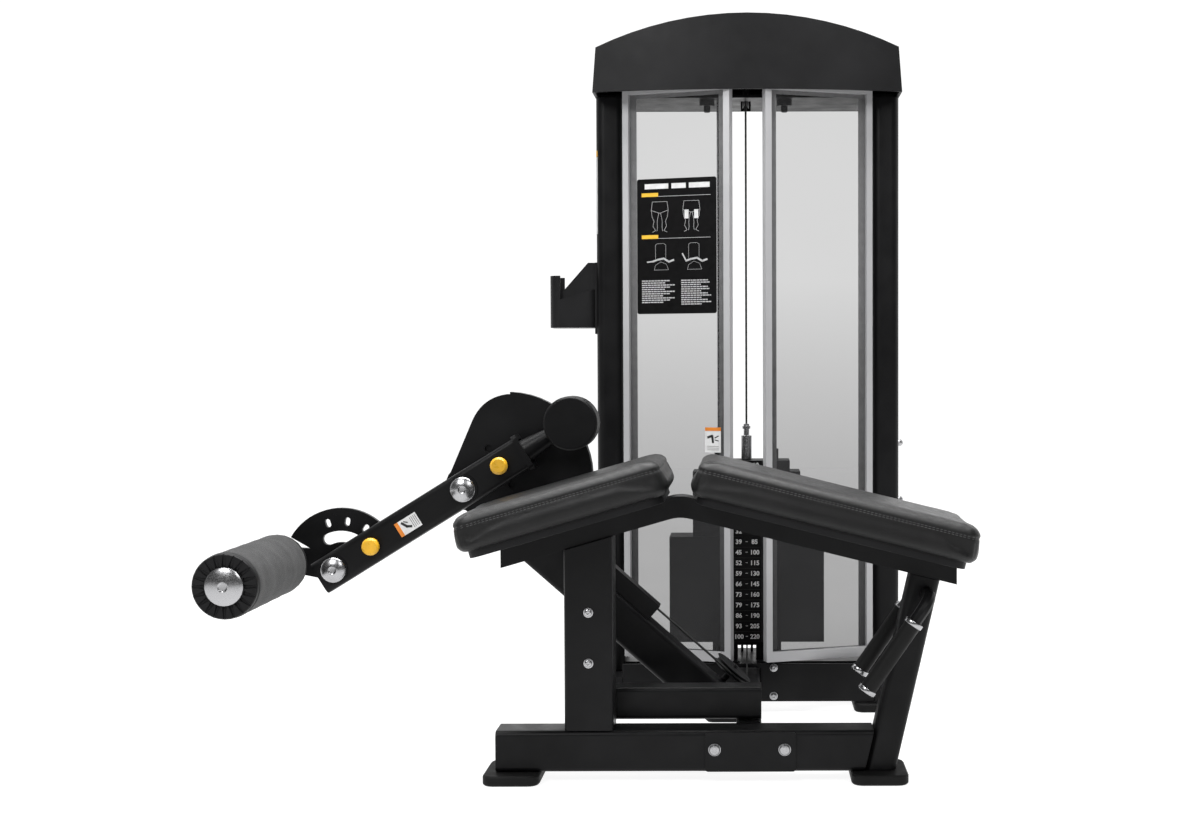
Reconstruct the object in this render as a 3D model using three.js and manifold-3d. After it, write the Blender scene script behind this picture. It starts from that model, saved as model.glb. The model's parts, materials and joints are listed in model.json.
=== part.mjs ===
// Lying leg curl machine with a plate stack.
// Millimetres. X runs along the bench, Y runs back to the tower, Z is up from the floor.
// The model is laid out with X = 0 on the tower centreline and Y = 0 on the bench
// centreline, then moved so that its origin is the centre of its footprint.
import * as THREE from 'three';
import { mergeVertices } from 'three/addons/utils/BufferGeometryUtils.js';
import Module from 'manifold-3d';

const wasm = await Module();
wasm.setup();

// ---------------------------------------------------------------- driving dimensions
const GAP = 0.3;
const BORE_GAP = 0.8;
const WALL = 4;

const FOOT = { width: 110, depth: 140, height: 20, corner: 22 };
const WRAP = { x: 3, z: 60, width: 175, height: 76, bolts: [-66, 69], boltZ: 65 };
const RAIL = { left: -489, half: 40, bottom: FOOT.height + GAP, top: 100 };
const LEG = { width: 60, slope: 0.2315, edgeX: 283, edgeZ: 10 };
const POST = { left: -356, right: -261, half: 38 };

const THIGH_ANGLE = THREE.MathUtils.degToRad(16);
const CHEST_ANGLE = THREE.MathUtils.degToRad(-14);
const PAD = { width: 300, thick: 64, board: 15, corner: 28 };
const THIGH_PAD = { x: -148, z: 567, length: 408 };
const CHEST_PAD = { x: -108, z: 565, length: 548 };
const BEAM = { width: 60, height: 40, leftX: -478, rightX: 402, skin: 3, turn: 20 };

const HANDLE = { out: 100, tube: 13, grip: 16, ring: 17.5, ringLength: 9 };
const GRIP = { topX: 314, topZ: 321, endX: 221, endZ: 187 };

const PIVOT = { x: -586, z: 551, axle: 12, washer: 26, boss: 30 };
const SHIN = { x: -853, z: 386, axle: 10, washer: 26, boss: 29 };
const LEVER = { front: 176, back: 236, height: 70, tailX: -884, headX: -466 };
const COUNTERWEIGHT = { x: -365, z: 686, radius: 56, front: 173, back: 240 };
const QUADRANT = { front: 248, back: 258, rimBack: 278, rimThick: 9 };
const SECTOR = { front: 238.5, back: 250.5, radius: 122, hole: 94 };
const PIN = { radius: 7, knob: 18, knobLength: 20 };
const START_PIN = { x: -510, z: 600 };
const SHIN_PIN = { x: -774, z: 435 };
const ROLLER = { x: -963, z: 400, radius: 62, front: -165, back: 150, bore: 16 };
const SHAFT_RADIUS = 11;

const DIAGONAL = { front: 281, back: 361, height: 80, endX: -25.3, bottom: 45, uncut: 860 };
const DIAGONAL_SLOPE = THREE.MathUtils.degToRad(41.4);
const CABLE = { radius: 2.5, y: 311, x: -4, lift: 28 };
const CORNER_PULLEY = { groove: 40, outer: 46, width: 16 };
const BASE_PULLEY = { groove: 35, outer: 40, width: 14, y: 838 };
const TOP_PULLEY = { outer: 70, width: 16, z: 1500 };

const TOWER = { half: 357, column: 64, front: 670, back: 830, top: 1445 };
const BASE = { top: 100, rear: 900, front: 590 };
const CAP = { half: 358, bottom: 1435, corner: 1535, peak: 1608, front: 560, bow: 46, back: 892 };
const SHROUD = { innerX: 38, innerY: 578, outerX: 289, outerY: 664, bottom: 119, top: 1452 };
const SHROUD_BAR = { side: 15, end: 23, depth: 22 };

const STACK = { x: -4, front: 695, back: 795, bottom: 145, pitch: 25.2 };
const UPPER_PLATES = { count: 4, half: 128 };
const LOWER_PLATES = { count: 10, half: 184 };
const ROD = { radius: 10, offset: 60, clearance: 1.2 };
const STACK_TOP = STACK.bottom + STACK.pitch * (UPPER_PLATES.count + LOWER_PLATES.count);
const STACK_Y = (STACK.front + STACK.back) / 2;

// ---------------------------------------------------------------- finishes
function finish(color, roughness, metalness, extra = {}) {
  return new THREE.MeshStandardMaterial({ color, roughness, metalness, ...extra });
}
const FINISH = {
  frame: () => finish(0x1b1c1e, 0.42, 0.3),
  chrome: () => finish(0xd5d7d9, 0.12, 1),
  steel: () => finish(0xb9bcc0, 0.3, 1),
  aluminium: () => finish(0x9d9ea0, 0.38, 0.9),
  rubber: () => finish(0x141414, 0.85, 0),
  plastic: () => finish(0x222325, 0.55, 0),
  leather: () => finish(0x121213, 0.5, 0),
  foam: () => finish(0x3c3d3f, 0.9, 0),
  yellow: () => finish(0xe0a51c, 0.35, 0),
  frosted: () => finish(0xdfe2e4, 0.5, 0, { transparent: true, opacity: 0.6 }),
  placard: () => finish(0x101113, 0.35, 0),
  plate: () => finish(0x2a2b2d, 0.6, 0.6),
  cord: () => finish(0x1a1a1b, 0.5, 0.2),
};

const machine = new THREE.Group();

function piece(name, geometry, material) {
  const mesh = new THREE.Mesh(geometry, material());
  mesh.name = name;
  machine.add(mesh);
  return mesh;
}

// ---------------------------------------------------------------- solids: join and cut
function toSolid(geometry) {
  const bare = geometry.index ? geometry.toNonIndexed() : geometry.clone();
  bare.deleteAttribute('normal');
  bare.deleteAttribute('uv');
  const merged = mergeVertices(bare, 1e-4);
  return new wasm.Manifold(new wasm.Mesh({
    numProp: 3,
    vertProperties: new Float32Array(merged.attributes.position.array),
    triVerts: new Uint32Array(merged.index.array),
  }));
}

function fromSolid(solid) {
  const mesh = solid.getMesh();
  const geometry = new THREE.BufferGeometry();
  geometry.setAttribute('position', new THREE.BufferAttribute(mesh.vertProperties, 3));
  geometry.setIndex(new THREE.BufferAttribute(mesh.triVerts, 1));
  geometry.computeVertexNormals();
  return geometry;
}

function join(...parts) {
  return fromSolid(parts.map(toSolid).reduce((sum, next) => sum.add(next)));
}

function cut(body, ...tools) {
  return fromSolid(tools.map(toSolid).reduce((rest, tool) => rest.subtract(tool), toSolid(body)));
}

function common(body, tool) {
  return fromSolid(toSolid(body).intersect(toSolid(tool)));
}

// ---------------------------------------------------------------- basic shapes
// Box given by its corners.
function block(x0, x1, y0, y1, z0, z1) {
  const geometry = new THREE.BoxGeometry(x1 - x0, y1 - y0, z1 - z0);
  return geometry.translate((x0 + x1) / 2, (y0 + y1) / 2, (z0 + z1) / 2);
}

// Rectangle with rounded corners, centred on the origin.
function roundedRect(width, height, radius, target = new THREE.Shape()) {
  const w = width / 2;
  const h = height / 2;
  target.moveTo(-w + radius, -h);
  target.lineTo(w - radius, -h);
  target.absarc(w - radius, -h + radius, radius, -Math.PI / 2, 0, false);
  target.lineTo(w, h - radius);
  target.absarc(w - radius, h - radius, radius, 0, Math.PI / 2, false);
  target.lineTo(-w + radius, h);
  target.absarc(-w + radius, h - radius, radius, Math.PI / 2, Math.PI, false);
  target.lineTo(-w, -h + radius);
  target.absarc(-w + radius, -h + radius, radius, Math.PI, Math.PI * 1.5, false);
  return target;
}

function extrude(shape, depth, curveSegments = 4, bevel = 0) {
  return new THREE.ExtrudeGeometry(shape, {
    depth: depth - 2 * bevel,
    curveSegments,
    bevelEnabled: bevel > 0,
    bevelSize: bevel,
    bevelOffset: -bevel,
    bevelThickness: bevel,
    bevelSegments: 1,
  }).translate(0, 0, bevel);
}

// Outline drawn in X and Z, given its thickness between two depths.
function slab(shape, front, back, curveSegments = 6, bevel = 0) {
  const geometry = extrude(shape, back - front, curveSegments, bevel);
  return geometry.rotateX(Math.PI / 2).translate(0, back, 0);
}

// Rectangular tube with open ends, from one point to another in the plane of the bench.
function tube(x0, z0, x1, z1, centreY, height, width, corner = 8, wall = WALL) {
  const length = Math.hypot(x1 - x0, z1 - z0);
  const shape = roundedRect(width, height, corner);
  shape.holes.push(roundedRect(width - 2 * wall, height - 2 * wall, corner - wall / 2, new THREE.Path()));
  const geometry = extrude(shape, length, 2);
  geometry.rotateY(Math.PI / 2).rotateX(Math.PI / 2);
  geometry.rotateY(-Math.atan2(z1 - z0, x1 - x0));
  return geometry.translate(x0, centreY, z0);
}

// Round bar along Y.
function barY(x, z, radius, front, back, sides = 20) {
  const geometry = new THREE.CylinderGeometry(radius, radius, back - front, sides);
  return geometry.translate(x, (front + back) / 2, z);
}

// Round bar along Z.
function barZ(x, y, radius, bottom, top, sides = 20) {
  const geometry = new THREE.CylinderGeometry(radius, radius, top - bottom, sides);
  return geometry.rotateX(Math.PI / 2).translate(x, y, (bottom + top) / 2);
}

// Turned piece whose axis runs along Y: the profile is a list of [radius, y].
function turned(x, z, profile, sides = 28) {
  const points = profile.map(([radius, y]) => new THREE.Vector2(radius, y));
  return new THREE.LatheGeometry(points, sides).translate(x, 0, z);
}

// A path that visits its points in order, one extrusion step between neighbours.
class Route extends THREE.Curve {
  constructor(points) {
    super();
    this.points = points;
  }
  getPoint(t, target = new THREE.Vector3()) {
    const place = t * (this.points.length - 1);
    const index = Math.min(Math.floor(place), this.points.length - 2);
    return target.lerpVectors(this.points[index], this.points[index + 1], place - index);
  }
  getPointAt(u, target) {
    return this.getPoint(u, target);
  }
  getTangentAt(u, target = new THREE.Vector3()) {
    const last = this.points.length - 1;
    const index = Math.round(u * last);
    const before = this.points[Math.max(index - 1, 0)];
    const after = this.points[Math.min(index + 1, last)];
    const here = this.points[index];
    target.set(0, 0, 0);
    if (index > 0) target.add(here.clone().sub(before).normalize());
    if (index < last) target.add(after.clone().sub(here).normalize());
    return target.normalize();
  }
}

function sweep(points, shape, curveSegments = 4) {
  return new THREE.ExtrudeGeometry(shape, {
    extrudePath: new Route(points),
    steps: points.length - 1,
    curveSegments,
    bevelEnabled: false,
  });
}

function circle(radius, target = new THREE.Shape()) {
  return target.absarc(0, 0, radius, 0, Math.PI * 2, false);
}

// Points of an arc that starts at `centre - radius * across` and turns from `along` to `across`.
function bend(centre, radius, along, across, steps) {
  const points = [];
  for (let i = 0; i <= steps; i += 1) {
    const angle = (i / steps) * (Math.PI / 2);
    const point = centre.clone();
    point.addScaledVector(along, radius * Math.sin(angle));
    point.addScaledVector(across, -radius * Math.cos(angle));
    points.push(point);
  }
  return points;
}

// ---------------------------------------------------------------- the sloping bench line
// Moves a shape from a pad's own frame (X up the slope, Z out of the pad) to the machine.
function onSlope(geometry, corner, angle) {
  return geometry.rotateY(-angle).translate(corner.x, 0, corner.z);
}
function slopePoint(corner, angle, along, offset) {
  const x = corner.x + along * Math.cos(angle) - offset * Math.sin(angle);
  const z = corner.z + along * Math.sin(angle) + offset * Math.cos(angle);
  return [x, z];
}
// Height at X of the line that lies `offset` above the underside of a pad.
function slopeHeight(corner, angle, x, offset) {
  return corner.z + (x - corner.x) * Math.tan(angle) + offset / Math.cos(angle);
}
// Where the two sloping lines cross.
function crossing(offset) {
  const thigh = slopeHeight(THIGH_PAD, THIGH_ANGLE, 0, offset);
  const chest = slopeHeight(CHEST_PAD, CHEST_ANGLE, 0, offset);
  const x = (chest - thigh) / (Math.tan(THIGH_ANGLE) - Math.tan(CHEST_ANGLE));
  return [x, slopeHeight(THIGH_PAD, THIGH_ANGLE, x, offset)];
}

const BEAM_TOP = -PAD.board - 2 * GAP;
const BEAM_BOTTOM = BEAM_TOP - BEAM.height;
const LEG_LEAN = Math.atan(LEG.slope);

function legX(z, side) {
  return LEG.edgeX + (z - LEG.edgeZ) * LEG.slope - (side * LEG.width) / Math.cos(LEG_LEAN);
}

// ---------------------------------------------------------------- feet and front frame
function foot(name, x, y, width, depth) {
  const shape = roundedRect(width, depth, FOOT.corner);
  const plate = extrude(shape, FOOT.height, 3, 3).translate(x, y, 0);
  piece(name, plate, FINISH.rubber);
}

function frontRail() {
  const z = (RAIL.bottom + RAIL.top) / 2;
  const height = RAIL.top - RAIL.bottom;
  const end = legX(z, 0.5);
  const bar = tube(RAIL.left, z, end, z, 0, height, 2 * RAIL.half, 10, 5);
  const trim = new THREE.Shape();
  trim.moveTo(legX(0, 1) - GAP, 0);
  trim.lineTo(legX(200, 1) - GAP, 200);
  trim.lineTo(legX(200, -1), 200);
  trim.lineTo(legX(0, -1), 0);
  piece('front_rail', cut(bar, slab(trim, -60, 60)), FINISH.frame);
}

// Folded plate over the rail where the depth tube is bolted on, with its two bolt heads.
function railWrapPlate() {
  const face = -RAIL.half - GAP;
  const outline = roundedRectAt(WRAP.x, WRAP.z, WRAP.width, WRAP.height, 6);
  const plate = slab(outline, face - WALL, face, 3);
  const head = [[0, face - 10], [7, face - 10], [10, face - 7], [10, face - 2], [0, face - 2]];
  const heads = WRAP.bolts.map((x) => turned(x, WRAP.boltZ, head, 16));
  piece('rail_wrap_plate', join(plate, ...heads), FINISH.frame);
}

function roundedRectAt(x, z, width, height, radius) {
  const shape = roundedRect(width, height, radius);
  const points = shape.getPoints(3).map((p) => new THREE.Vector2(p.x + x, p.y + z));
  return new THREE.Shape(points);
}

function benchPost() {
  const x = (POST.left + POST.right) / 2;
  const post = tube(x, RAIL.top + GAP, x, THIGH_PAD.z, 0, POST.right - POST.left, 2 * POST.half, 9);
  const above = block(-400, 100, -60, 60, BEAM_BOTTOM - GAP, 300);
  const trimmed = cut(post, onSlope(above, THIGH_PAD, THIGH_ANGLE));
  piece('bench_post', trimmed, FINISH.frame);
}

function benchLeg() {
  const low = FOOT.height + GAP;
  const under = -20;
  const over = 520;
  const leg = tube(legX(under, 0.5), under, legX(over, 0.5), over, 0, LEG.width, LEG.width, 14);
  const floor = block(0, 600, -60, 60, -100, low);
  const above = block(0, 700, -60, 60, BEAM_BOTTOM - GAP, 300);
  const trimmed = cut(leg, floor, onSlope(above, CHEST_PAD, CHEST_ANGLE));
  piece('bench_leg', trimmed, FINISH.frame);
}

// Outline of the bent beam between two offsets below the pads.
function beamOutline(top, bottom, left, right) {
  const { turn } = BEAM;
  const [topX, topZ] = crossing(top);
  const [lowX, lowZ] = crossing(bottom);
  const thigh = (x, offset) => slopeHeight(THIGH_PAD, THIGH_ANGLE, x, offset);
  const chest = (x, offset) => slopeHeight(CHEST_PAD, CHEST_ANGLE, x, offset);
  const shape = new THREE.Shape();
  shape.moveTo(left, thigh(left, bottom));
  shape.lineTo(lowX - turn, thigh(lowX - turn, bottom));
  shape.quadraticCurveTo(lowX, lowZ, lowX + turn, chest(lowX + turn, bottom));
  shape.lineTo(right, chest(right, bottom));
  shape.lineTo(right, chest(right, top));
  shape.lineTo(topX + turn, chest(topX + turn, top));
  shape.quadraticCurveTo(topX, topZ, topX - turn, thigh(topX - turn, top));
  shape.lineTo(left, thigh(left, top));
  return shape;
}

function benchBeam() {
  const half = BEAM.width / 2;
  const { skin } = BEAM;
  const outer = slab(beamOutline(BEAM_TOP, BEAM_BOTTOM, BEAM.leftX, BEAM.rightX), -half, half);
  const hollow = beamOutline(BEAM_TOP - skin, BEAM_BOTTOM + skin, BEAM.leftX - 9, BEAM.rightX + 9);
  const inner = slab(hollow, -half + skin, half - skin);
  piece('bench_beam', cut(outer, inner), FINISH.frame);
}

// ---------------------------------------------------------------- pads on their boards
// Plan outline of a pad; `clip` cuts the rear corner at the lever's end.
function padPlan(length, width, inset, clip) {
  const left = inset;
  const right = length - inset;
  const half = width / 2 - inset;
  const r = PAD.corner;
  const shape = new THREE.Shape();
  shape.moveTo(left + r, -half);
  shape.lineTo(right - r, -half);
  shape.absarc(right - r, -half + r, r, -Math.PI / 2, 0, false);
  shape.lineTo(right, half - r);
  shape.absarc(right - r, half - r, r, 0, Math.PI / 2, false);
  shape.lineTo(left + clip, half);
  shape.lineTo(left, half - clip * 1.2);
  shape.lineTo(left, -half + r);
  shape.absarc(left + r, -half + r, r, Math.PI, Math.PI * 1.5, false);
  return shape;
}

function padAndBoard(name, corner, angle, start, clip) {
  const cushion = extrude(padPlan(corner.length, PAD.width, 0, clip), PAD.thick, 4, 10);
  const board = extrude(padPlan(corner.length, PAD.width, 14, clip), PAD.board, 3, 0);
  cushion.translate(start, 0, 0);
  board.translate(start, 0, -PAD.board - GAP);
  piece(`${name}_pad`, onSlope(cushion, corner, angle), FINISH.leather);
  piece(`${name}_board`, onSlope(board, corner, angle), FINISH.plastic);
}

// ---------------------------------------------------------------- grab handles
function handle(side, sign) {
  const grip = new THREE.Vector3(GRIP.topX, sign * HANDLE.out, GRIP.topZ);
  const end = new THREE.Vector3(GRIP.endX, sign * HANDLE.out, GRIP.endZ);
  const down = end.clone().sub(grip).normalize();
  const elbow = grip.clone().addScaledVector(down, -52);
  const legSide = sign * (LEG.width / 2 + GAP);
  const root = new THREE.Vector3(elbow.x, legSide, elbow.z);
  const across = new THREE.Vector3(0, sign, 0);
  const radius = 34;
  const centre = elbow.clone().addScaledVector(across, -radius).addScaledVector(down, radius);
  const curve = bend(centre, radius, across, down, 6);
  const path = [root, ...curve, end];
  const bar = sweep(path, circle(HANDLE.tube), 5);
  piece(`handle_tube_${side}`, bar, FINISH.frame);

  const length = end.distanceTo(grip);
  const ring = HANDLE.ringLength;
  const bore = HANDLE.tube + GAP;
  const profile = [[bore, 0], [HANDLE.ring, 0], [HANDLE.ring, ring], [HANDLE.grip, ring],
    [HANDLE.grip, length - ring], [HANDLE.ring, length - ring], [HANDLE.ring, length - GAP],
    [bore, length - GAP], [bore, 0]];
  const sleeve = new THREE.LatheGeometry(profile.map(([r, y]) => new THREE.Vector2(r, y)), 16);
  const turn = new THREE.Quaternion().setFromUnitVectors(new THREE.Vector3(0, 1, 0), down);
  sleeve.applyQuaternion(turn).translate(grip.x, grip.y, grip.z);
  piece(`handle_grip_${side}`, sleeve, FINISH.rubber);
}

// ---------------------------------------------------------------- tubes to the tower
const DEPTH_TUBE = { half: 25, bottom: 50, top: 100 };
const BRACE = { front: 40.6, back: 100.6, bottom: 104, top: 168 };
const CROSSBEAM = { front: 690, back: 800, bottom: 36 };

function depthTube() {
  const front = RAIL.half + GAP;
  const shape = roundedRect(2 * DEPTH_TUBE.half, DEPTH_TUBE.top - DEPTH_TUBE.bottom, 6);
  shape.holes.push(roundedRect(2 * DEPTH_TUBE.half - 8, DEPTH_TUBE.top - DEPTH_TUBE.bottom - 8, 4,
    new THREE.Path()));
  const bar = extrude(shape, CROSSBEAM.front - GAP - front, 2).rotateX(Math.PI / 2);
  bar.translate(0, CROSSBEAM.front - GAP, (DEPTH_TUBE.bottom + DEPTH_TUBE.top) / 2);
  piece('depth_tube', bar, FINISH.frame);
}

function braceTube() {
  const z = (BRACE.bottom + BRACE.top) / 2;
  const y = (BRACE.front + BRACE.back) / 2;
  const bar = tube(POST.left, z, DEPTH_TUBE.half, z, y, BRACE.top - BRACE.bottom,
    BRACE.back - BRACE.front, 9, 4);
  piece('brace_tube', bar, FINISH.frame);
}

// ---------------------------------------------------------------- diagonal beam and cable box
const DIAGONAL_Y = (DIAGONAL.front + DIAGONAL.back) / 2;
const HOUSING_RADIUS = 46;

// Point of the diagonal: `along` down the beam from the pivot, `up` square to it.
function diagonalPoint(along, up) {
  const x = PIVOT.x + along * Math.cos(DIAGONAL_SLOPE) + up * Math.sin(DIAGONAL_SLOPE);
  const z = PIVOT.z - along * Math.sin(DIAGONAL_SLOPE) + up * Math.cos(DIAGONAL_SLOPE);
  return [x, z];
}
const DIAGONAL_DROP = -10;
const DIAGONAL_TOP = DIAGONAL_DROP + DIAGONAL.height / 2;
const CABLE_UP = DIAGONAL_TOP + CABLE.lift;

function diagonalBeam() {
  const [x0, z0] = diagonalPoint(0, DIAGONAL_DROP);
  const [x1, z1] = diagonalPoint(DIAGONAL.uncut, DIAGONAL_DROP);
  const width = DIAGONAL.back - DIAGONAL.front;
  const bar = tube(x0, z0, x1, z1, DIAGONAL_Y, DIAGONAL.height, width, 10);
  const housing = barY(PIVOT.x, PIVOT.z, HOUSING_RADIUS + GAP, 200, 400, 24);
  const right = block(DIAGONAL.endX, 300, 200, 400, -200, 400);
  const floor = block(-400, 300, 200, 400, -300, DIAGONAL.bottom);
  piece('diagonal_beam', cut(bar, housing, right, floor), FINISH.frame);
}

function pivotHousing() {
  const front = DIAGONAL.front;
  const back = DIAGONAL.back;
  const bore = PIVOT.axle + BORE_GAP;
  const ring = turned(PIVOT.x, PIVOT.z, [[bore, front], [HOUSING_RADIUS - 6, front],
    [HOUSING_RADIUS, front + 6], [HOUSING_RADIUS, back - 6], [HOUSING_RADIUS - 6, back],
    [bore, back], [bore, front]], 24);
  piece('pivot_housing', ring, FINISH.frame);
}

// Box along the diagonal, given between two distances down it and two heights above it.
function diagonalBlock(start, end, low, high, half) {
  const corners = [[start, low], [end, low], [end, high], [start, high]];
  const points = corners.map(([along, up]) => new THREE.Vector2(...diagonalPoint(along, up)));
  return slab(new THREE.Shape(points), CABLE.y - half, CABLE.y + half, 2);
}

const CABLE_BOX = { start: 262, end: 470, height: 38, half: 20, skin: 3 };

function cableBox() {
  const { start, end, height, half, skin } = CABLE_BOX;
  const low = DIAGONAL_TOP + GAP;
  const high = DIAGONAL_TOP + height;
  const shell = diagonalBlock(start, end, low, high, half);
  const hollow = diagonalBlock(start - 9, end + 9, low + skin, high - skin, half - skin);
  piece('cable_box', cut(shell, hollow), FINISH.frame);
}

// ---------------------------------------------------------------- lever, counterweight, axles
const LEVER_ANGLE = Math.atan2(PIVOT.z - SHIN.z, PIVOT.x - SHIN.x);
const LEVER_Y = (LEVER.front + LEVER.back) / 2;

function leverZ(x) {
  return PIVOT.z + (x - PIVOT.x) * Math.tan(LEVER_ANGLE);
}

const BOSS = { front: LEVER.front - 3, back: LEVER.back + 1.5 };

// Straight length of the lever's box section between two places along X.
function leverBar(x0, x1, height, width, wall) {
  return tube(x0, leverZ(x0), x1, leverZ(x1), LEVER_Y, height, width, 10, wall);
}

// Hole right through the lever.
function leverHole(at, radius, sides) {
  return barY(at.x, at.z, radius, LEVER.front - 60, LEVER.back + 60, sides);
}

function leverTube() {
  const width = LEVER.back - LEVER.front;
  const { headX, tailX, height } = LEVER;
  const bar = leverBar(tailX, headX, height, width, 5);
  const flange = leverBar(headX - 2, headX + 7, height + 10, width + 4, 12);
  const neckX = headX + 30;
  const neck = new THREE.CylinderGeometry(17, 25, 62, 16).rotateX(Math.PI / 2);
  neck.rotateY(Math.PI / 2 - LEVER_ANGLE).translate(neckX, LEVER_Y, leverZ(neckX));
  const clear = leverHole(COUNTERWEIGHT, COUNTERWEIGHT.radius + GAP, 36);
  const bosses = [PIVOT, SHIN].map((p) => barY(p.x, p.z, p.boss, BOSS.front, BOSS.back, 20));
  const bores = [PIVOT, SHIN].map((p) => leverHole(p, p.axle + BORE_GAP, 14));
  const pins = [START_PIN, SHIN_PIN].map((p) => leverHole(p, PIN.radius + BORE_GAP, 10));
  const solid = join(bar, flange, neck, ...bosses);
  piece('lever_tube', cut(solid, clear, ...bores, ...pins), FINISH.frame);
}

function counterweight() {
  const { x, z, radius, front, back } = COUNTERWEIGHT;
  const body = turned(x, z, [[0, front], [radius - 4, front], [radius, front + 4],
    [radius, back - 4], [radius - 4, back], [0, back]], 36);
  piece('counterweight', body, FINISH.frame);
}

// Axle with a domed head that shows on the front of the lever.
function axle(name, at, radius, tip) {
  const seat = BOSS.front - GAP;
  const face = seat - 11;
  const body = turned(at.x, at.z, [[0, face + 2], [6, face + 2], [8, face], [14, face + 1],
    [at.washer - 4, face + 4], [at.washer, seat - 3], [at.washer, seat], [radius, seat],
    [radius, tip], [0, tip]], 22);
  piece(name, body, FINISH.chrome);
}

function pullPin(name, at, tip) {
  const seat = LEVER.front - GAP;
  const body = turned(at.x, at.z, [[0, seat - PIN.knobLength], [PIN.knob - 4, seat - PIN.knobLength],
    [PIN.knob, seat - PIN.knobLength + 4], [PIN.knob, seat - 8], [11, seat - 4], [11, seat],
    [PIN.radius, seat], [PIN.radius, tip], [0, tip]], 18);
  piece(name, body, FINISH.yellow);
}

// ---------------------------------------------------------------- quadrant that winds the cable
const RIM_CENTRE = { x: PIVOT.x + 81, z: PIVOT.z + 21 };
const RIM_RADIUS = 178;
const RIM_FROM = THREE.MathUtils.degToRad(-45);
const RIM_TO = THREE.MathUtils.degToRad(88);
const PIN_HOLE_DEPTH = 6;
const PIN_HOLE_STEP = THREE.MathUtils.degToRad(15);
const HUB_RADIUS = 50;

function quadrant() {
  const plate = new THREE.Shape();
  const rimInner = RIM_RADIUS - QUADRANT.rimThick / 2;
  plate.moveTo(PIVOT.x - 20, PIVOT.z - 30);
  plate.lineTo(PIVOT.x - 38, PIVOT.z + 32);
  plate.lineTo(PIVOT.x + 8, PIVOT.z + 140);
  plate.quadraticCurveTo(PIVOT.x + 30, PIVOT.z + 188, RIM_CENTRE.x, RIM_CENTRE.z + rimInner);
  plate.absarc(RIM_CENTRE.x, RIM_CENTRE.z, rimInner, Math.PI / 2, RIM_FROM, true);
  const hub = barY(PIVOT.x, PIVOT.z, HUB_RADIUS, QUADRANT.front, QUADRANT.back, 24);
  const boss = barY(PIVOT.x, PIVOT.z, PIVOT.boss, BOSS.back + GAP, QUADRANT.rimBack, 16);

  const rim = new THREE.Shape();
  rim.absarc(RIM_CENTRE.x, RIM_CENTRE.z, RIM_RADIUS, RIM_FROM, RIM_TO, false);
  rim.absarc(RIM_CENTRE.x, RIM_CENTRE.z, RIM_RADIUS - QUADRANT.rimThick, RIM_TO, RIM_FROM, true);
  const flange = slab(rim, QUADRANT.front, QUADRANT.rimBack, 10);

  const bore = barY(PIVOT.x, PIVOT.z, PIVOT.axle + BORE_GAP, 200, 300, 14);
  const pinAngle = Math.atan2(START_PIN.z - PIVOT.z, START_PIN.x - PIVOT.x);
  const reach = Math.hypot(START_PIN.x - PIVOT.x, START_PIN.z - PIVOT.z);
  const holes = [-2, -1, 0, 1, 2].map((step) => {
    const angle = pinAngle + step * PIN_HOLE_STEP;
    const x = PIVOT.x + reach * Math.cos(angle);
    const z = PIVOT.z + reach * Math.sin(angle);
    return barY(x, z, PIN.radius + 1, 200, QUADRANT.front + PIN_HOLE_DEPTH, 10);
  });
  const solid = join(slab(plate, QUADRANT.front, QUADRANT.back, 10), hub, boss, flange);
  piece('quadrant_plate', cut(solid, bore, ...holes), FINISH.frame);
}

// ---------------------------------------------------------------- roller bracket and roller
const SECTOR_HOLE_STEP = THREE.MathUtils.degToRad(25);

function sectorPoint(radius, degrees) {
  const angle = THREE.MathUtils.degToRad(degrees);
  return [SHIN.x + radius * Math.cos(angle), SHIN.z + radius * Math.sin(angle)];
}

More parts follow.
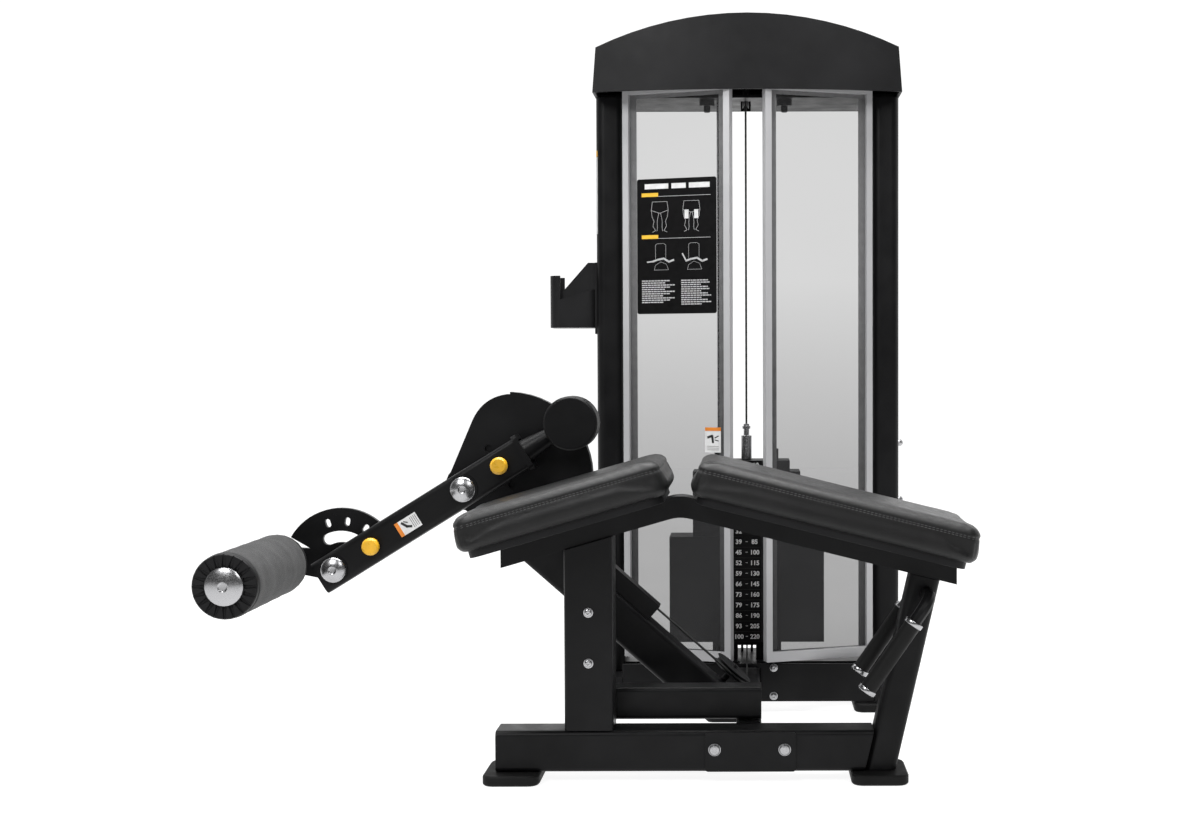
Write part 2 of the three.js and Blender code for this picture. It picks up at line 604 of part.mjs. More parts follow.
function rollerBracket() {
  const { front, back, radius } = SECTOR;
  const from = THREE.MathUtils.degToRad(18);
  const to = THREE.MathUtils.degToRad(150);
  const sector = new THREE.Shape();
  sector.moveTo(SHIN.x, SHIN.z);
  sector.lineTo(...sectorPoint(radius, 18));
  sector.absarc(SHIN.x, SHIN.z, radius, from, to, false);
  const link = new THREE.Shape();
  const reach = Math.hypot(ROLLER.x - SHIN.x, ROLLER.z - SHIN.z);
  link.absarc(reach, 0, 26, -Math.PI / 2 - 0.1, Math.PI / 2 + 0.1, false);
  link.absarc(0, 0, 34, Math.PI / 2, Math.PI * 1.5, false);
  const arm = slab(link, front, back, 6);
  arm.rotateY(-Math.atan2(ROLLER.z - SHIN.z, ROLLER.x - SHIN.x)).translate(SHIN.x, 0, SHIN.z);
  const window = new THREE.Shape();
  const inner = THREE.MathUtils.degToRad(60);
  const outer = THREE.MathUtils.degToRad(115);
  window.absarc(SHIN.x, SHIN.z, 74, inner, outer, false);
  const [turnX, turnZ] = sectorPoint(62, 115);
  window.absarc(turnX, turnZ, 12, outer, outer + Math.PI, false);
  window.absarc(SHIN.x, SHIN.z, 50, outer, inner, true);
  const [endX, endZ] = sectorPoint(62, 60);
  window.absarc(endX, endZ, 12, inner + Math.PI, inner + Math.PI * 2, false);
  const pinAngle = Math.atan2(SHIN_PIN.z - SHIN.z, SHIN_PIN.x - SHIN.x);
  const holes = [0, 1, 2, 3].map((step) => {
    const slot = slab(roundedRect(18, 11, 5.4), front - 9, back + 9, 2);
    slot.translate(SECTOR.hole, 0, 0).rotateY(-(pinAngle + step * SECTOR_HOLE_STEP));
    return slot.translate(SHIN.x, 0, SHIN.z);
  });
  const bores = [barY(SHIN.x, SHIN.z, SHIN.axle + BORE_GAP, 200, 300, 14),
    barY(ROLLER.x, ROLLER.z, SHAFT_RADIUS + BORE_GAP, 200, 300, 14)];
  const solid = join(slab(sector, front, back, 12), arm);
  const cutaway = slab(window, front - 9, back + 9, 4);
  piece('roller_bracket', cut(solid, cutaway, ...holes, ...bores), FINISH.frame);
}

function rollerParts() {
  const { x, z, radius, front, back, bore } = ROLLER;
  const shaft = turned(x, z, [[0, front - 8], [SHAFT_RADIUS, front - 8], [SHAFT_RADIUS, SECTOR.back + 2],
    [0, SECTOR.back + 2]], 14);
  piece('roller_shaft', shaft, FINISH.steel);
  const foam = turned(x, z, [[bore, front], [radius - 6, front], [radius, front + 6],
    [radius, back - 6], [radius - 6, back], [bore, back], [bore, front]], 24);
  piece('foam_roller', foam, FINISH.foam);
  const ring = (a, b) => [[bore, a], [radius - 3, a], [radius - 1, a + 3], [radius - 1, b], [bore, b],
    [bore, a]];
  const cap = turned(x, z, ring(front - 12, front - GAP), 36);
  const flutes = [];
  for (let i = 0; i < 20; i += 1) {
    const flute = new THREE.CylinderGeometry(1.5, 4.5, 26, 6).rotateZ(Math.PI / 2);
    flute.translate(-50, front - 12, 0).rotateY((i / 20) * Math.PI * 2).translate(x, 0, z);
    flutes.push(flute);
  }
  piece('roller_cap_front', cut(cap, ...flutes), FINISH.plastic);
  piece('roller_cap_rear', turned(x, z, ring(back + GAP, back + 9), 24), FINISH.plastic);
  const face = front - 12 - GAP;
  const disc = turned(x, z, [[0, face - 8], [7, face - 8], [9, face - 10], [16, face - 9],
    [30, face - 6], [36, face - 2], [36, face], [0, face]], 26);
  piece('roller_hub_disc', disc, FINISH.chrome);
}

// ---------------------------------------------------------------- tower base and columns
const FLANGE = { thick: 8, half: 348 };

function towerBase() {
  const inner = TOWER.half - TOWER.column;
  const low = FOOT.height + GAP;
  const runners = [-1, 1].map((side) => {
    const x = side * (TOWER.half + inner) / 2;
    return block(x - TOWER.column / 2, x + TOWER.column / 2, BASE.front, BASE.rear, low, 80);
  });
  const sill = block(-inner - 5, inner + 5, CROSSBEAM.front, CROSSBEAM.back, CROSSBEAM.bottom, 78);
  const cross = block(-inner + GAP, inner - GAP, CROSSBEAM.front, CROSSBEAM.back, 70, BASE.top);
  const hollow = block(-inner + 12, inner - 12, CROSSBEAM.front + 5, CROSSBEAM.back - 5,
    CROSSBEAM.bottom - 9, BASE.top - 5);
  const y = BASE_PULLEY.y;
  const tongue = block(CABLE.x - 30, CABLE.x + 30, CROSSBEAM.back - 3, y + 34, 60, BASE.top);
  const cheeks = [-1, 1].map((side) => {
    const x = CABLE.x + side * (BASE_PULLEY.width / 2 + 5);
    return block(x - 3, x + 3, y - 18, y + 18, BASE.top - 2, CABLE_FLOOR_Z + BASE_PULLEY.groove + 18);
  });
  const solid = join(...runners, sill, cross, tongue, ...cheeks);
  piece('tower_base', cut(solid, hollow), FINISH.frame);
}

function baseCover() {
  const inner = TOWER.half - TOWER.column - GAP;
  const sheet = block(-inner, inner, BASE.front + 2, BASE.front + 8, 24, 112);
  const notch = block(-DEPTH_TUBE.half - 3, DEPTH_TUBE.half + 3, 500, 700, 0, DEPTH_TUBE.top + 3);
  piece('base_cover', cut(sheet, notch), FINISH.frame);
}

function column(name, side) {
  const x = side * (TOWER.half - TOWER.column / 2);
  const depth = TOWER.back - TOWER.front;
  const shape = roundedRect(TOWER.column, depth, 22);
  shape.holes.push(roundedRect(TOWER.column - 6, depth - 6, 19, new THREE.Path()));
  const height = CAP.bottom - GAP - 80 - GAP;
  const geometry = extrude(shape, height, 3);
  geometry.translate(x, (TOWER.front + TOWER.back) / 2, 80 + GAP);
  piece(name, geometry, FINISH.frame);
}

// Plate across the columns under the cap; it carries the top pulley and the guide rods.
function topCrossbar() {
  const low = CAP.bottom;
  const high = low + FLANGE.thick;
  const plate = block(-FLANGE.half, FLANGE.half, 684, 884, low, high);
  const y = TOP_PULLEY_Y;
  const reach = TOP_PULLEY.outer + 4;
  const slot = block(CABLE.x - 12, CABLE.x + 12, y - reach, y + reach, low - 9, high + 9);
  const cheeks = [-1, 1].map((side) => {
    const x = CABLE.x + side * (12 + 3);
    return block(x - 3, x + 3, y - 24, y + 24, high - 2, TOP_PULLEY.z + 20);
  });
  const solid = cut(join(plate, ...cheeks), slot);
  piece('top_crossbar', solid, FINISH.frame);
}

// Arch outline of the cap, shrunk by `inset` inside its skin.
function capOutline(inset, bottom) {
  const half = CAP.half - inset;
  const rise = CAP.peak - CAP.corner;
  const radius = (CAP.half ** 2 + rise ** 2) / (2 * rise);
  const reach = radius - inset;
  const top = 8;
  const shape = new THREE.Shape();
  const swing = Math.asin((half - top) / reach);
  shape.moveTo(-half, bottom);
  shape.lineTo(half, bottom);
  shape.lineTo(half - top, CAP.peak - radius + reach * Math.cos(swing));
  shape.absarc(0, CAP.peak - radius, reach, Math.PI / 2 - swing, Math.PI / 2 + swing, false);
  return shape;
}

// Plan of the cap: the front bows forward in a shallow arc.
function capPlan(inset) {
  const half = CAP.half - inset + 2;
  const radius = (CAP.half ** 2 + CAP.bow ** 2) / (2 * CAP.bow);
  const reach = radius - inset;
  const centreY = CAP.front + radius;
  const swing = Math.asin(half / reach);
  const shape = new THREE.Shape();
  shape.moveTo(half, CAP.back - inset);
  shape.lineTo(-half, CAP.back - inset);
  shape.absarc(0, centreY, reach, -Math.PI / 2 - swing, -Math.PI / 2 + swing, false);
  return shape;
}

function topCap() {
  const solid = (inset, bottom) => {
    const arch = slab(capOutline(inset, bottom), CAP.front - 40, CAP.back + 40, 8);
    const plan = extrude(capPlan(inset), 400, 8).translate(0, 0, CAP.bottom - 100);
    return common(arch, plan);
  };
  piece('top_cap', cut(solid(0, CAP.bottom), solid(5, CAP.bottom - 50)), FINISH.plastic);
}

// ---------------------------------------------------------------- shroud frames and panels
const SHROUD_WIDTH = Math.hypot(SHROUD.outerX - SHROUD.innerX, SHROUD.outerY - SHROUD.innerY);
const SHROUD_TURN = Math.atan2(SHROUD.outerY - SHROUD.innerY, SHROUD.outerX - SHROUD.innerX);
const PANEL = { thick: 4 };
const PLACARD = { from: 34, to: 231, bottom: 925, top: 1239, thick: 2.5 };

// Stands a flat shape, drawn from the left edge, in the plane of one shroud.
function onShroud(geometry, side) {
  if (side > 0) {
    return geometry.rotateZ(SHROUD_TURN).translate(SHROUD.innerX, SHROUD.innerY, 0);
  }
  return geometry.rotateZ(-SHROUD_TURN).translate(-SHROUD.outerX, SHROUD.outerY, 0);
}

function shroud(side, word) {
  const height = SHROUD.top - SHROUD.bottom;
  const middle = (SHROUD.top + SHROUD.bottom) / 2;
  const bar = SHROUD_BAR.side;
  const frame = roundedRectAt(SHROUD_WIDTH / 2, middle, SHROUD_WIDTH, height, 2);
  const openLow = SHROUD.bottom + SHROUD_BAR.end;
  const openHigh = SHROUD.top - SHROUD_BAR.side;
  const opening = [[bar, openLow], [bar, openHigh], [SHROUD_WIDTH - bar, openHigh],
    [SHROUD_WIDTH - bar, openLow]];
  frame.holes.push(new THREE.Path(opening.map(([x, z]) => new THREE.Vector2(x, z))));
  const half = SHROUD_BAR.depth / 2;
  piece(`shroud_frame_${word}`, onShroud(slab(frame, -half, half, 2), side), FINISH.aluminium);
  const panel = block(bar + GAP, SHROUD_WIDTH - bar - GAP, -PANEL.thick / 2, PANEL.thick / 2,
    openLow + GAP, openHigh - GAP);
  piece(`frosted_panel_${word}`, onShroud(panel, side), FINISH.frosted);
}

function placard() {
  const face = -PANEL.thick / 2 - GAP;
  const card = roundedRectAt((PLACARD.from + PLACARD.to) / 2, (PLACARD.bottom + PLACARD.top) / 2,
    PLACARD.to - PLACARD.from, PLACARD.top - PLACARD.bottom, 5);
  piece('placard', onShroud(slab(card, face - PLACARD.thick, face, 3), -1), FINISH.placard);
}

// ---------------------------------------------------------------- weight stack
function rodBores(radius) {
  return [-1, 1].map((side) => barZ(STACK.x + side * ROD.offset, STACK_Y, radius, 0, 1000, 10));
}

function guideRods() {
  [[-1, 'left'], [1, 'right']].forEach(([side, word]) => {
    const x = STACK.x + side * ROD.offset;
    const rod = barZ(x, STACK_Y, ROD.radius, BASE.top + GAP, CAP.bottom - GAP, 14);
    piece(`guide_rod_${word}`, rod, FINISH.chrome);
  });
}

// A block of plates, each parted from the next by a fine groove at both sides.
function plates(name, firstBottom, count, half) {
  const groove = 1.2;
  const inset = 4;
  const shape = new THREE.Shape();
  const right = [];
  for (let i = 0; i < count; i += 1) {
    const low = firstBottom + i * STACK.pitch;
    const high = low + STACK.pitch;
    const base = i === 0 ? low : low + groove / 2;
    const lid = i === count - 1 ? high - GAP : high - groove / 2;
    right.push([half, base], [half, lid]);
    if (i < count - 1) right.push([half - inset, lid], [half - inset, high + groove / 2]);
  }
  shape.moveTo(STACK.x - right[0][0], right[0][1]);
  right.forEach(([x, z]) => shape.lineTo(STACK.x + x, z));
  right.reverse().forEach(([x, z]) => shape.lineTo(STACK.x - x, z));
  const bodyOfPlates = slab(shape, STACK.front, STACK.back, 2);
  piece(name, cut(bodyOfPlates, ...rodBores(ROD.radius + ROD.clearance)), FINISH.plate);
}

const HEAD = { bottom: STACK_TOP, body: 552, step: 578, top: 604, bushing: 17 };
const STEM = { radius: 7, sleeve: 13, sleeveTop: 636, flange: 10, top: 664 };
const SELECTOR = { z: 567, radius: 5, knob: 12, depth: 62 };

// The stepped plate that the cable lifts, with a bushing round each guide rod.
function headPlate() {
  const { x, front, back } = STACK;
  const body = block(x - 128, x + 128, front, back, HEAD.bottom + GAP, HEAD.body);
  const step = block(x - 103, x + 103, front, back, HEAD.body - 2, HEAD.step);
  const bushings = [-1, 1].map((side) => barZ(x + side * ROD.offset, STACK_Y, HEAD.bushing,
    HEAD.step - 2, HEAD.top, 20));
  const radius = SELECTOR.radius + 1;
  const hole = barY(x, SELECTOR.z, radius, front - 9, front + SELECTOR.depth + 6, 16);
  const solid = join(body, step, ...bushings);
  const bores = rodBores(ROD.radius + ROD.clearance);
  piece('head_plate', cut(solid, hole, ...bores), FINISH.plate);
}

// Steel sleeve and eye that tie the cable to the head plate.
function stackStem() {
  const { x } = STACK;
  const sleeve = barZ(x, STACK_Y, STEM.sleeve, HEAD.step + GAP, STEM.sleeveTop, 18);
  const stem = barZ(x, STACK_Y, STEM.radius, STEM.sleeveTop - 2, STEM.top, 18);
  const flange = barZ(x, STACK_Y, STEM.flange, STEM.top - 12, STEM.top - 5, 18);
  piece('stack_stem', join(sleeve, stem, flange), FINISH.steel);
}

function selectorPin() {
  const face = STACK.front - GAP;
  const pin = turned(STACK.x, SELECTOR.z, [[0, face - 34], [SELECTOR.knob - 3, face - 34],
    [SELECTOR.knob, face - 30], [SELECTOR.knob - 4, face - 14], [SELECTOR.knob - 2, face],
    [SELECTOR.radius, face], [SELECTOR.radius, face + SELECTOR.depth - 3], [0, face + SELECTOR.depth]], 14);
  piece('selector_pin', pin, FINISH.plastic);
}

// Rubber blocks round the guide rods, bridged over the tunnel that the cable runs through.
function stackCushion() {
  const body = block(STACK.x - 82, STACK.x + 82, STACK.front + 20, STACK.back - 20, BASE.top + GAP,
    STACK.bottom - GAP);
  const tunnel = block(CABLE.x - 22, CABLE.x + 22, 600, 900, 90, 134);
  piece('stack_cushion', cut(body, tunnel, ...rodBores(ROD.radius + ROD.clearance)), FINISH.rubber);
}

// ---------------------------------------------------------------- pulleys and lifting cable
// The cable shows from inside the cable box onwards.
const CABLE_START_ALONG = 300;
const CABLE_RUN_X = CABLE.x - PIVOT.x - CABLE_UP * Math.sin(DIAGONAL_SLOPE);
const CABLE_EXIT_ALONG = CABLE_RUN_X / Math.cos(DIAGONAL_SLOPE);
const CABLE_FLOOR_Z = diagonalPoint(CABLE_EXIT_ALONG, CABLE_UP)[1];
const CABLE_REAR_Y = BASE_PULLEY.y + BASE_PULLEY.groove + CABLE.radius + GAP;
const TOP_PULLEY_Y = (STACK_Y + CABLE_REAR_Y) / 2;
const DOWN = new THREE.Vector3(Math.cos(DIAGONAL_SLOPE), 0, -Math.sin(DIAGONAL_SLOPE));
const UP_FROM_BEAM = new THREE.Vector3(Math.sin(DIAGONAL_SLOPE), 0, Math.cos(DIAGONAL_SLOPE));

// Grooved wheel with its axle stubs, centred on the origin with its axis along Y.
function pulleyWheel(groove, outer, width, stubLow, stubHigh) {
  const half = width / 2;
  const stub = 7;
  const floor = CABLE.radius + 0.4;
  const profile = [[0, -stubLow], [stub, -stubLow], [stub, -half], [outer, -half],
    [outer, -half + 2], [groove, -floor], [groove, floor], [outer, half - 2],
    [outer, half], [stub, half], [stub, stubHigh], [0, stubHigh]];
  return turned(0, 0, profile, 20);
}

const CORNER_CENTRE = new THREE.Vector3();
function cornerPulley() {
  const { groove, outer, width } = CORNER_PULLEY;
  const reach = groove + CABLE.radius + GAP;
  const [x, z] = diagonalPoint(CABLE_EXIT_ALONG - reach, CABLE_UP);
  CORNER_CENTRE.set(x, CABLE.y + reach, z);
  const wheel = pulleyWheel(groove, outer, width, CABLE.lift - GAP, width / 2 + 6);
  wheel.rotateX(Math.PI / 2).rotateY(DIAGONAL_SLOPE);
  piece('corner_pulley', wheel.translate(...CORNER_CENTRE), FINISH.plastic);
}

function uprightPulley(name, { groove, outer, width }, y, z, stub) {
  const wheel = pulleyWheel(groove, outer, width, stub, stub).rotateZ(Math.PI / 2);
  piece(name, wheel.translate(CABLE.x, y, z), FINISH.plastic);
}

function liftingCable() {
  const floorZ = CABLE_FLOOR_Z;
  const [startX, startZ] = diagonalPoint(CABLE_START_ALONG, CABLE_UP);
  const start = new THREE.Vector3(startX, CABLE.y, startZ);
  const back = new THREE.Vector3(0, 1, 0);
  const up = new THREE.Vector3(0, 0, 1);
  const front = new THREE.Vector3(0, -1, 0);
  const corner = CORNER_PULLEY.groove + CABLE.radius + GAP;
  const base = BASE_PULLEY.groove + CABLE.radius + GAP;
  const top = TOP_PULLEY_Y - STACK_Y;
  const baseCentre = new THREE.Vector3(CABLE.x, BASE_PULLEY.y, floorZ + base);
  const topCentre = new THREE.Vector3(CABLE.x, TOP_PULLEY_Y, TOP_PULLEY.z);
  const path = [start,
    ...bend(CORNER_CENTRE, corner, DOWN, back, 7),
    ...bend(baseCentre, base, back, up, 7),
    ...bend(topCentre, top, up, front, 9),
    ...bend(topCentre, top, front, new THREE.Vector3(0, 0, -1), 9).slice(1)];
  piece('lifting_cable', sweep(path, circle(CABLE.radius), 2), FINISH.cord);
  const run = barZ(CABLE.x, STACK_Y, CABLE.radius, STEM.top + GAP, TOP_PULLEY.z - GAP, 8);
  piece('cable_to_stack', run, FINISH.cord);
}

// ---------------------------------------------------------------- bottle holder
const HOLDER = { left: -470, front: 690, back: 790, bottom: 895, wall: 4.5, corner: 24 };
const HOLDER_RIM = { left: 962, right: 996, prong: 26, prongTop: 1018 };
const HOLDER_BACK = { top: 1049, low: 880, thick: 5 };

function bottleHolder() {
  const wallX = -TOWER.half - GAP;
  const { left, front, back, bottom, wall, corner } = HOLDER;
  const width = wallX - left;
  const depth = back - front;
  const x = (wallX + left) / 2;
  const y = (front + back) / 2;
  const outer = roundedRect(width, depth, corner);
  const cup = extrude(outer, HOLDER_RIM.prongTop - bottom, 4, 0).translate(x, y, bottom);
  const bore = roundedRect(width - 2 * wall, depth - 2 * wall, corner - 4);
  const inner = extrude(bore, 200, 4).translate(x, y, bottom + 4);
  const prongX = left + HOLDER_RIM.prong;
  const over = new THREE.Shape();
  over.moveTo(prongX, HOLDER_RIM.left);
  over.lineTo(wallX + 30, HOLDER_RIM.right);
  over.lineTo(wallX + 30, HOLDER_RIM.prongTop + 30);
  over.lineTo(prongX, HOLDER_RIM.prongTop + 30);
  const above = slab(over, front - 30, back + 30);
  const plate = block(wallX - HOLDER_BACK.thick, wallX, front + 4, back - 4, HOLDER_BACK.low,
    HOLDER_BACK.top);
  const cheek = new THREE.Shape();
  cheek.moveTo(wallX - 2, bottom + 20);
  cheek.lineTo(prongX + 4, HOLDER_RIM.left - 2);
  cheek.lineTo(prongX + 4, HOLDER_RIM.left + 18);
  cheek.lineTo(wallX - 22, HOLDER_BACK.top);
  cheek.lineTo(wallX - 2, HOLDER_BACK.top);
  const sides = [[front + 12, front + 16], [back - 16, back - 12]].map(([a, b]) => slab(cheek, a, b));
  const slot = block(left - 9, left + 20, y - 16, y + 16, 940, HOLDER_RIM.prongTop + 9);
  const shell = join(cut(cup, above), plate);
  piece('bottle_holder', cut(join(cut(shell, inner), ...sides), slot), FINISH.plastic);
}

// ---------------------------------------------------------------- assembly
foot('foot_front_left', -457, 0, FOOT.width, FOOT.depth);
foot('foot_front_right', 252, 0, FOOT.width, FOOT.depth);
foot('foot_rear_left', -300, 742, FOOT.width, 330);
foot('foot_rear_right', 300, 742, FOOT.width, 330);
frontRail();
railWrapPlate();
benchPost();
benchLeg();
benchBeam();
padAndBoard('thigh', THIGH_PAD, THIGH_ANGLE, -THIGH_PAD.length, 34);
padAndBoard('chest', CHEST_PAD, CHEST_ANGLE, 0, 20);
handle('front', -1);
handle('rear', 1);
depthTube();
braceTube();
diagonalBeam();
pivotHousing();
cableBox();
leverTube();
counterweight();
axle('knee_axle', PIVOT, PIVOT.axle, DIAGONAL.back + 6);
axle('shin_axle', SHIN, SHIN.axle, SECTOR.back + 8);
pullPin('start_pull_pin', START_PIN, QUADRANT.front - GAP);
pullPin('angle_pull_pin', SHIN_PIN, SECTOR.front - GAP);
quadrant();
rollerBracket();
rollerParts();
towerBase();
baseCover();
column('column_left', -1);
column('column_right', 1);
topCrossbar();
topCap();
shroud(-1, 'left');
shroud(1, 'right');
placard();
guideRods();
plates('wide_plates', STACK.bottom, LOWER_PLATES.count, LOWER_PLATES.half);
plates('narrow_plates', STACK.bottom + LOWER_PLATES.count * STACK.pitch, UPPER_PLATES.count,
  UPPER_PLATES.half);
headPlate();
stackStem();
selectorPin();
stackCushion();
cornerPulley();
uprightPulley('base_pulley', BASE_PULLEY, BASE_PULLEY.y,
  CABLE_FLOOR_Z + BASE_PULLEY.groove + CABLE.radius + GAP, BASE_PULLEY.width / 2 + 2 - GAP);
uprightPulley('top_pulley', { ...TOP_PULLEY, groove: TOP_PULLEY_Y - STACK_Y - CABLE.radius - GAP },
  TOP_PULLEY_Y, TOP_PULLEY.z, 12 - GAP);
liftingCable();
bottleHolder();

// The origin is the centre of the footprint, on the floor.
const extent = new THREE.Box3().setFromObject(machine);
const middle = extent.getCenter(new THREE.Vector3());
machine.position.set(-middle.x, -middle.y, -extent.min.z);
machine.updateMatrixWorld(true);

export default machine;
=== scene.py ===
"""Looks of the lying leg curl machine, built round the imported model."""
import json
import math

import bmesh
import bpy
from mathutils import Matrix, Vector
from mathutils.bvhtree import BVHTree
from mathutils.geometry import convex_hull_2d


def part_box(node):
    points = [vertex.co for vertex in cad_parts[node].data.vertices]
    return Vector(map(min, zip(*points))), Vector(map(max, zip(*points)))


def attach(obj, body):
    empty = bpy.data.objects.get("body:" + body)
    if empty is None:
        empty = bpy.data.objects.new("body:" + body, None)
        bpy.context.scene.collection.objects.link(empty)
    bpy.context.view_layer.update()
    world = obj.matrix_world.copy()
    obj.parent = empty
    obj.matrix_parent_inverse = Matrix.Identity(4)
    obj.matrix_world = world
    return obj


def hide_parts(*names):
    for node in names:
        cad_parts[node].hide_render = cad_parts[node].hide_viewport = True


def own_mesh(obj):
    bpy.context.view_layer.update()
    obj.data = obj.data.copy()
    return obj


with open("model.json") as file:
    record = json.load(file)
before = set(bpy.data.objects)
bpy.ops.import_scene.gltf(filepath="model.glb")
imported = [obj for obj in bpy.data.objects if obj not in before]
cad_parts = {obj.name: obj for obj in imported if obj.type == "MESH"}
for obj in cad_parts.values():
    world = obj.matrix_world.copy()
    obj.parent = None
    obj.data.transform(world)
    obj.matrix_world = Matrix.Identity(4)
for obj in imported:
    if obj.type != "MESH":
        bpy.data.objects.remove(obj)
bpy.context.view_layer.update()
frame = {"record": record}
MM = 0.001
BEVEL_SEGMENTS = 3
BEVEL_ANGLE = math.radians(34)
WELD_DISTANCE = 0.02 * MM


# ------------------------------------------------------------------ small helpers
def centre_of(node):
    low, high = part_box(node)
    return (Vector(low) + Vector(high)) / 2


def mesh_object(name, bm, material, smooth=True):
    mesh = bpy.data.meshes.new(name)
    bm.normal_update()
    bm.to_mesh(mesh)
    bm.free()
    obj = bpy.data.objects.new(name, mesh)
    bpy.context.scene.collection.objects.link(obj)
    mesh.materials.append(material)
    for face in mesh.polygons:
        face.use_smooth = smooth
    return obj


def soften_edges(obj, width):
    """Rounds the sharp edges of a faceted piece and shades it as one smooth skin."""
    mesh = obj.data
    if "custom_normal" in mesh.attributes:
        mesh.attributes.remove(mesh.attributes["custom_normal"])
    for face in mesh.polygons:
        face.use_smooth = True
    weld = obj.modifiers.new("weld", "WELD")
    weld.merge_threshold = WELD_DISTANCE
    edge = obj.modifiers.new("edge", "BEVEL")
    edge.width = width
    edge.segments = BEVEL_SEGMENTS
    edge.limit_method = "ANGLE"
    edge.angle_limit = BEVEL_ANGLE
    normals = obj.modifiers.new("normals", "WEIGHTED_NORMAL")
    normals.keep_sharp = True


def add_box(bm, centre, size, turn=None):
    """A box with its size along its own axes; `turn` is a 3x3 rotation."""
    made = bmesh.ops.create_cube(bm, size=1.0)
    scale = Matrix.Diagonal((*size, 1.0))
    rotate = turn.to_4x4() if turn else Matrix.Identity(4)
    place = Matrix.Translation(centre) @ rotate @ scale
    bmesh.ops.transform(bm, matrix=place, verts=made["verts"])


def add_lathe(bm, profile, place, sides=32):
    """Turned solid from [radius, height] pairs that start and end on the axis."""
    rings = []
    for radius, height in profile:
        if radius < 1e-7:
            rings.append([bm.verts.new(place @ Vector((0, 0, height)))])
            continue
        ring = []
        for i in range(sides):
            angle = 2 * math.pi * i / sides
            point = Vector((radius * math.cos(angle), radius * math.sin(angle), height))
            ring.append(bm.verts.new(place @ point))
        rings.append(ring)
    for low, high in zip(rings, rings[1:]):
        for i in range(sides):
            j = (i + 1) % sides
            corners = [low[i % len(low)], low[j % len(low)], high[j % len(high)], high[i % len(high)]]
            unique = list(dict.fromkeys(corners))
            if len(unique) > 2:
                bm.faces.new(unique)


def skin_rings(bm, rings, closed):
    """Faces between neighbouring rings of points; `closed` also joins the last ring to the first."""
    following = rings[1:] + rings[:1] if closed else rings[1:]
    sides = len(rings[0])
    for low, high in zip(rings, following):
        for i in range(sides):
            j = (i + 1) % sides
            bm.faces.new((low[i], low[j], high[j], high[i]))


def facing(direction, place):
    """Matrix that turns +Z towards `direction` and moves to `place`."""
    turn = Vector((0, 0, 1)).rotation_difference(Vector(direction))
    return Matrix.Translation(place) @ turn.to_matrix().to_4x4()


# ------------------------------------------------------------------ materials
DULL_SPECULAR = 0.15
LEATHER_SPECULAR = 0.32


class Look:
    """A Principled material with helpers that add procedural detail."""

    def __init__(self, name, color, roughness, metallic=0.0):
        self.material = bpy.data.materials.new(name)
        self.material.use_nodes = True
        self.tree = self.material.node_tree
        self.shader = self.tree.nodes["Principled BSDF"]
        self.shader.inputs["Base Color"].default_value = (*color, 1)
        self.shader.inputs["Roughness"].default_value = roughness
        self.shader.inputs["Metallic"].default_value = metallic
        self.coords = self.tree.nodes.new("ShaderNodeTexCoord")
        self.height = None

    def node(self, kind, **values):
        made = self.tree.nodes.new(kind)
        for key, value in values.items():
            if key in made.inputs:
                made.inputs[key].default_value = value
            else:
                setattr(made, key, value)
        return made

    def link(self, source, target):
        self.tree.links.new(source, target)

    def place(self, scale=(1, 1, 1)):
        mapping = self.node("ShaderNodeMapping")
        mapping.inputs["Scale"].default_value = scale
        self.link(self.coords.outputs["Object"], mapping.inputs["Vector"])
        return mapping.outputs["Vector"]

    def noise(self, scale, detail=4, stretch=(1, 1, 1)):
        made = self.node("ShaderNodeTexNoise", Scale=scale, Detail=detail)
        self.link(self.place(stretch), made.inputs["Vector"])
        return made.outputs["Fac"]

    def ramp(self, source, low, high, start=0.3, end=0.7):
        """Maps `source` to a value or a colour between `low` and `high`."""
        made = self.node("ShaderNodeValToRGB")
        first, last = made.color_ramp.elements
        first.position, last.position = start, end
        first.color = low if isinstance(low, tuple) else (low, low, low, 1)
        last.color = high if isinstance(high, tuple) else (high, high, high, 1)
        self.link(source, made.inputs["Fac"])
        return made.outputs["Color"]

    def vary_color(self, source, low, high, **span):
        self.link(self.ramp(source, (*low, 1), (*high, 1), **span), self.shader.inputs["Base Color"])

    def vary_roughness(self, source, low, high, **span):
        self.link(self.ramp(source, low, high, **span), self.shader.inputs["Roughness"])

    def bump(self, source, strength, distance):
        made = self.node("ShaderNodeBump", Strength=strength, Distance=distance)
        self.link(source, made.inputs["Height"])
        if self.height is not None:
            self.link(self.height, made.inputs["Normal"])
        self.height = made.outputs["Normal"]
        self.link(self.height, self.shader.inputs["Normal"])

    def set(self, **sockets):
        for key, value in sockets.items():
            self.shader.inputs[key.replace("_", " ")].default_value = value
        return self


def powder_coat(name, color, roughness):
    look = Look(name, color, roughness)
    broad = look.noise(6, 3)
    fine = look.noise(900, 2)
    brighter = tuple(c * 1.7 + 0.0008 for c in color)
    look.vary_color(broad, color, brighter)
    look.vary_roughness(look.noise(22, 5), roughness - 0.06, roughness + 0.1)
    look.bump(fine, 0.22, 0.0004)
    look.set(Specular_IOR_Level=DULL_SPECULAR)
    return look.material


def textured_plastic(name, color, roughness, grain=1400, strength=0.3):
    look = Look(name, color, roughness)
    brighter = tuple(c * 1.4 + 0.001 for c in color)
    look.vary_color(look.noise(9, 4), color, brighter)
    look.vary_roughness(look.noise(35, 4), roughness - 0.05, roughness + 0.08)
    look.bump(look.noise(grain, 3), strength, 0.0003)
    look.set(Specular_IOR_Level=DULL_SPECULAR)
    return look.material


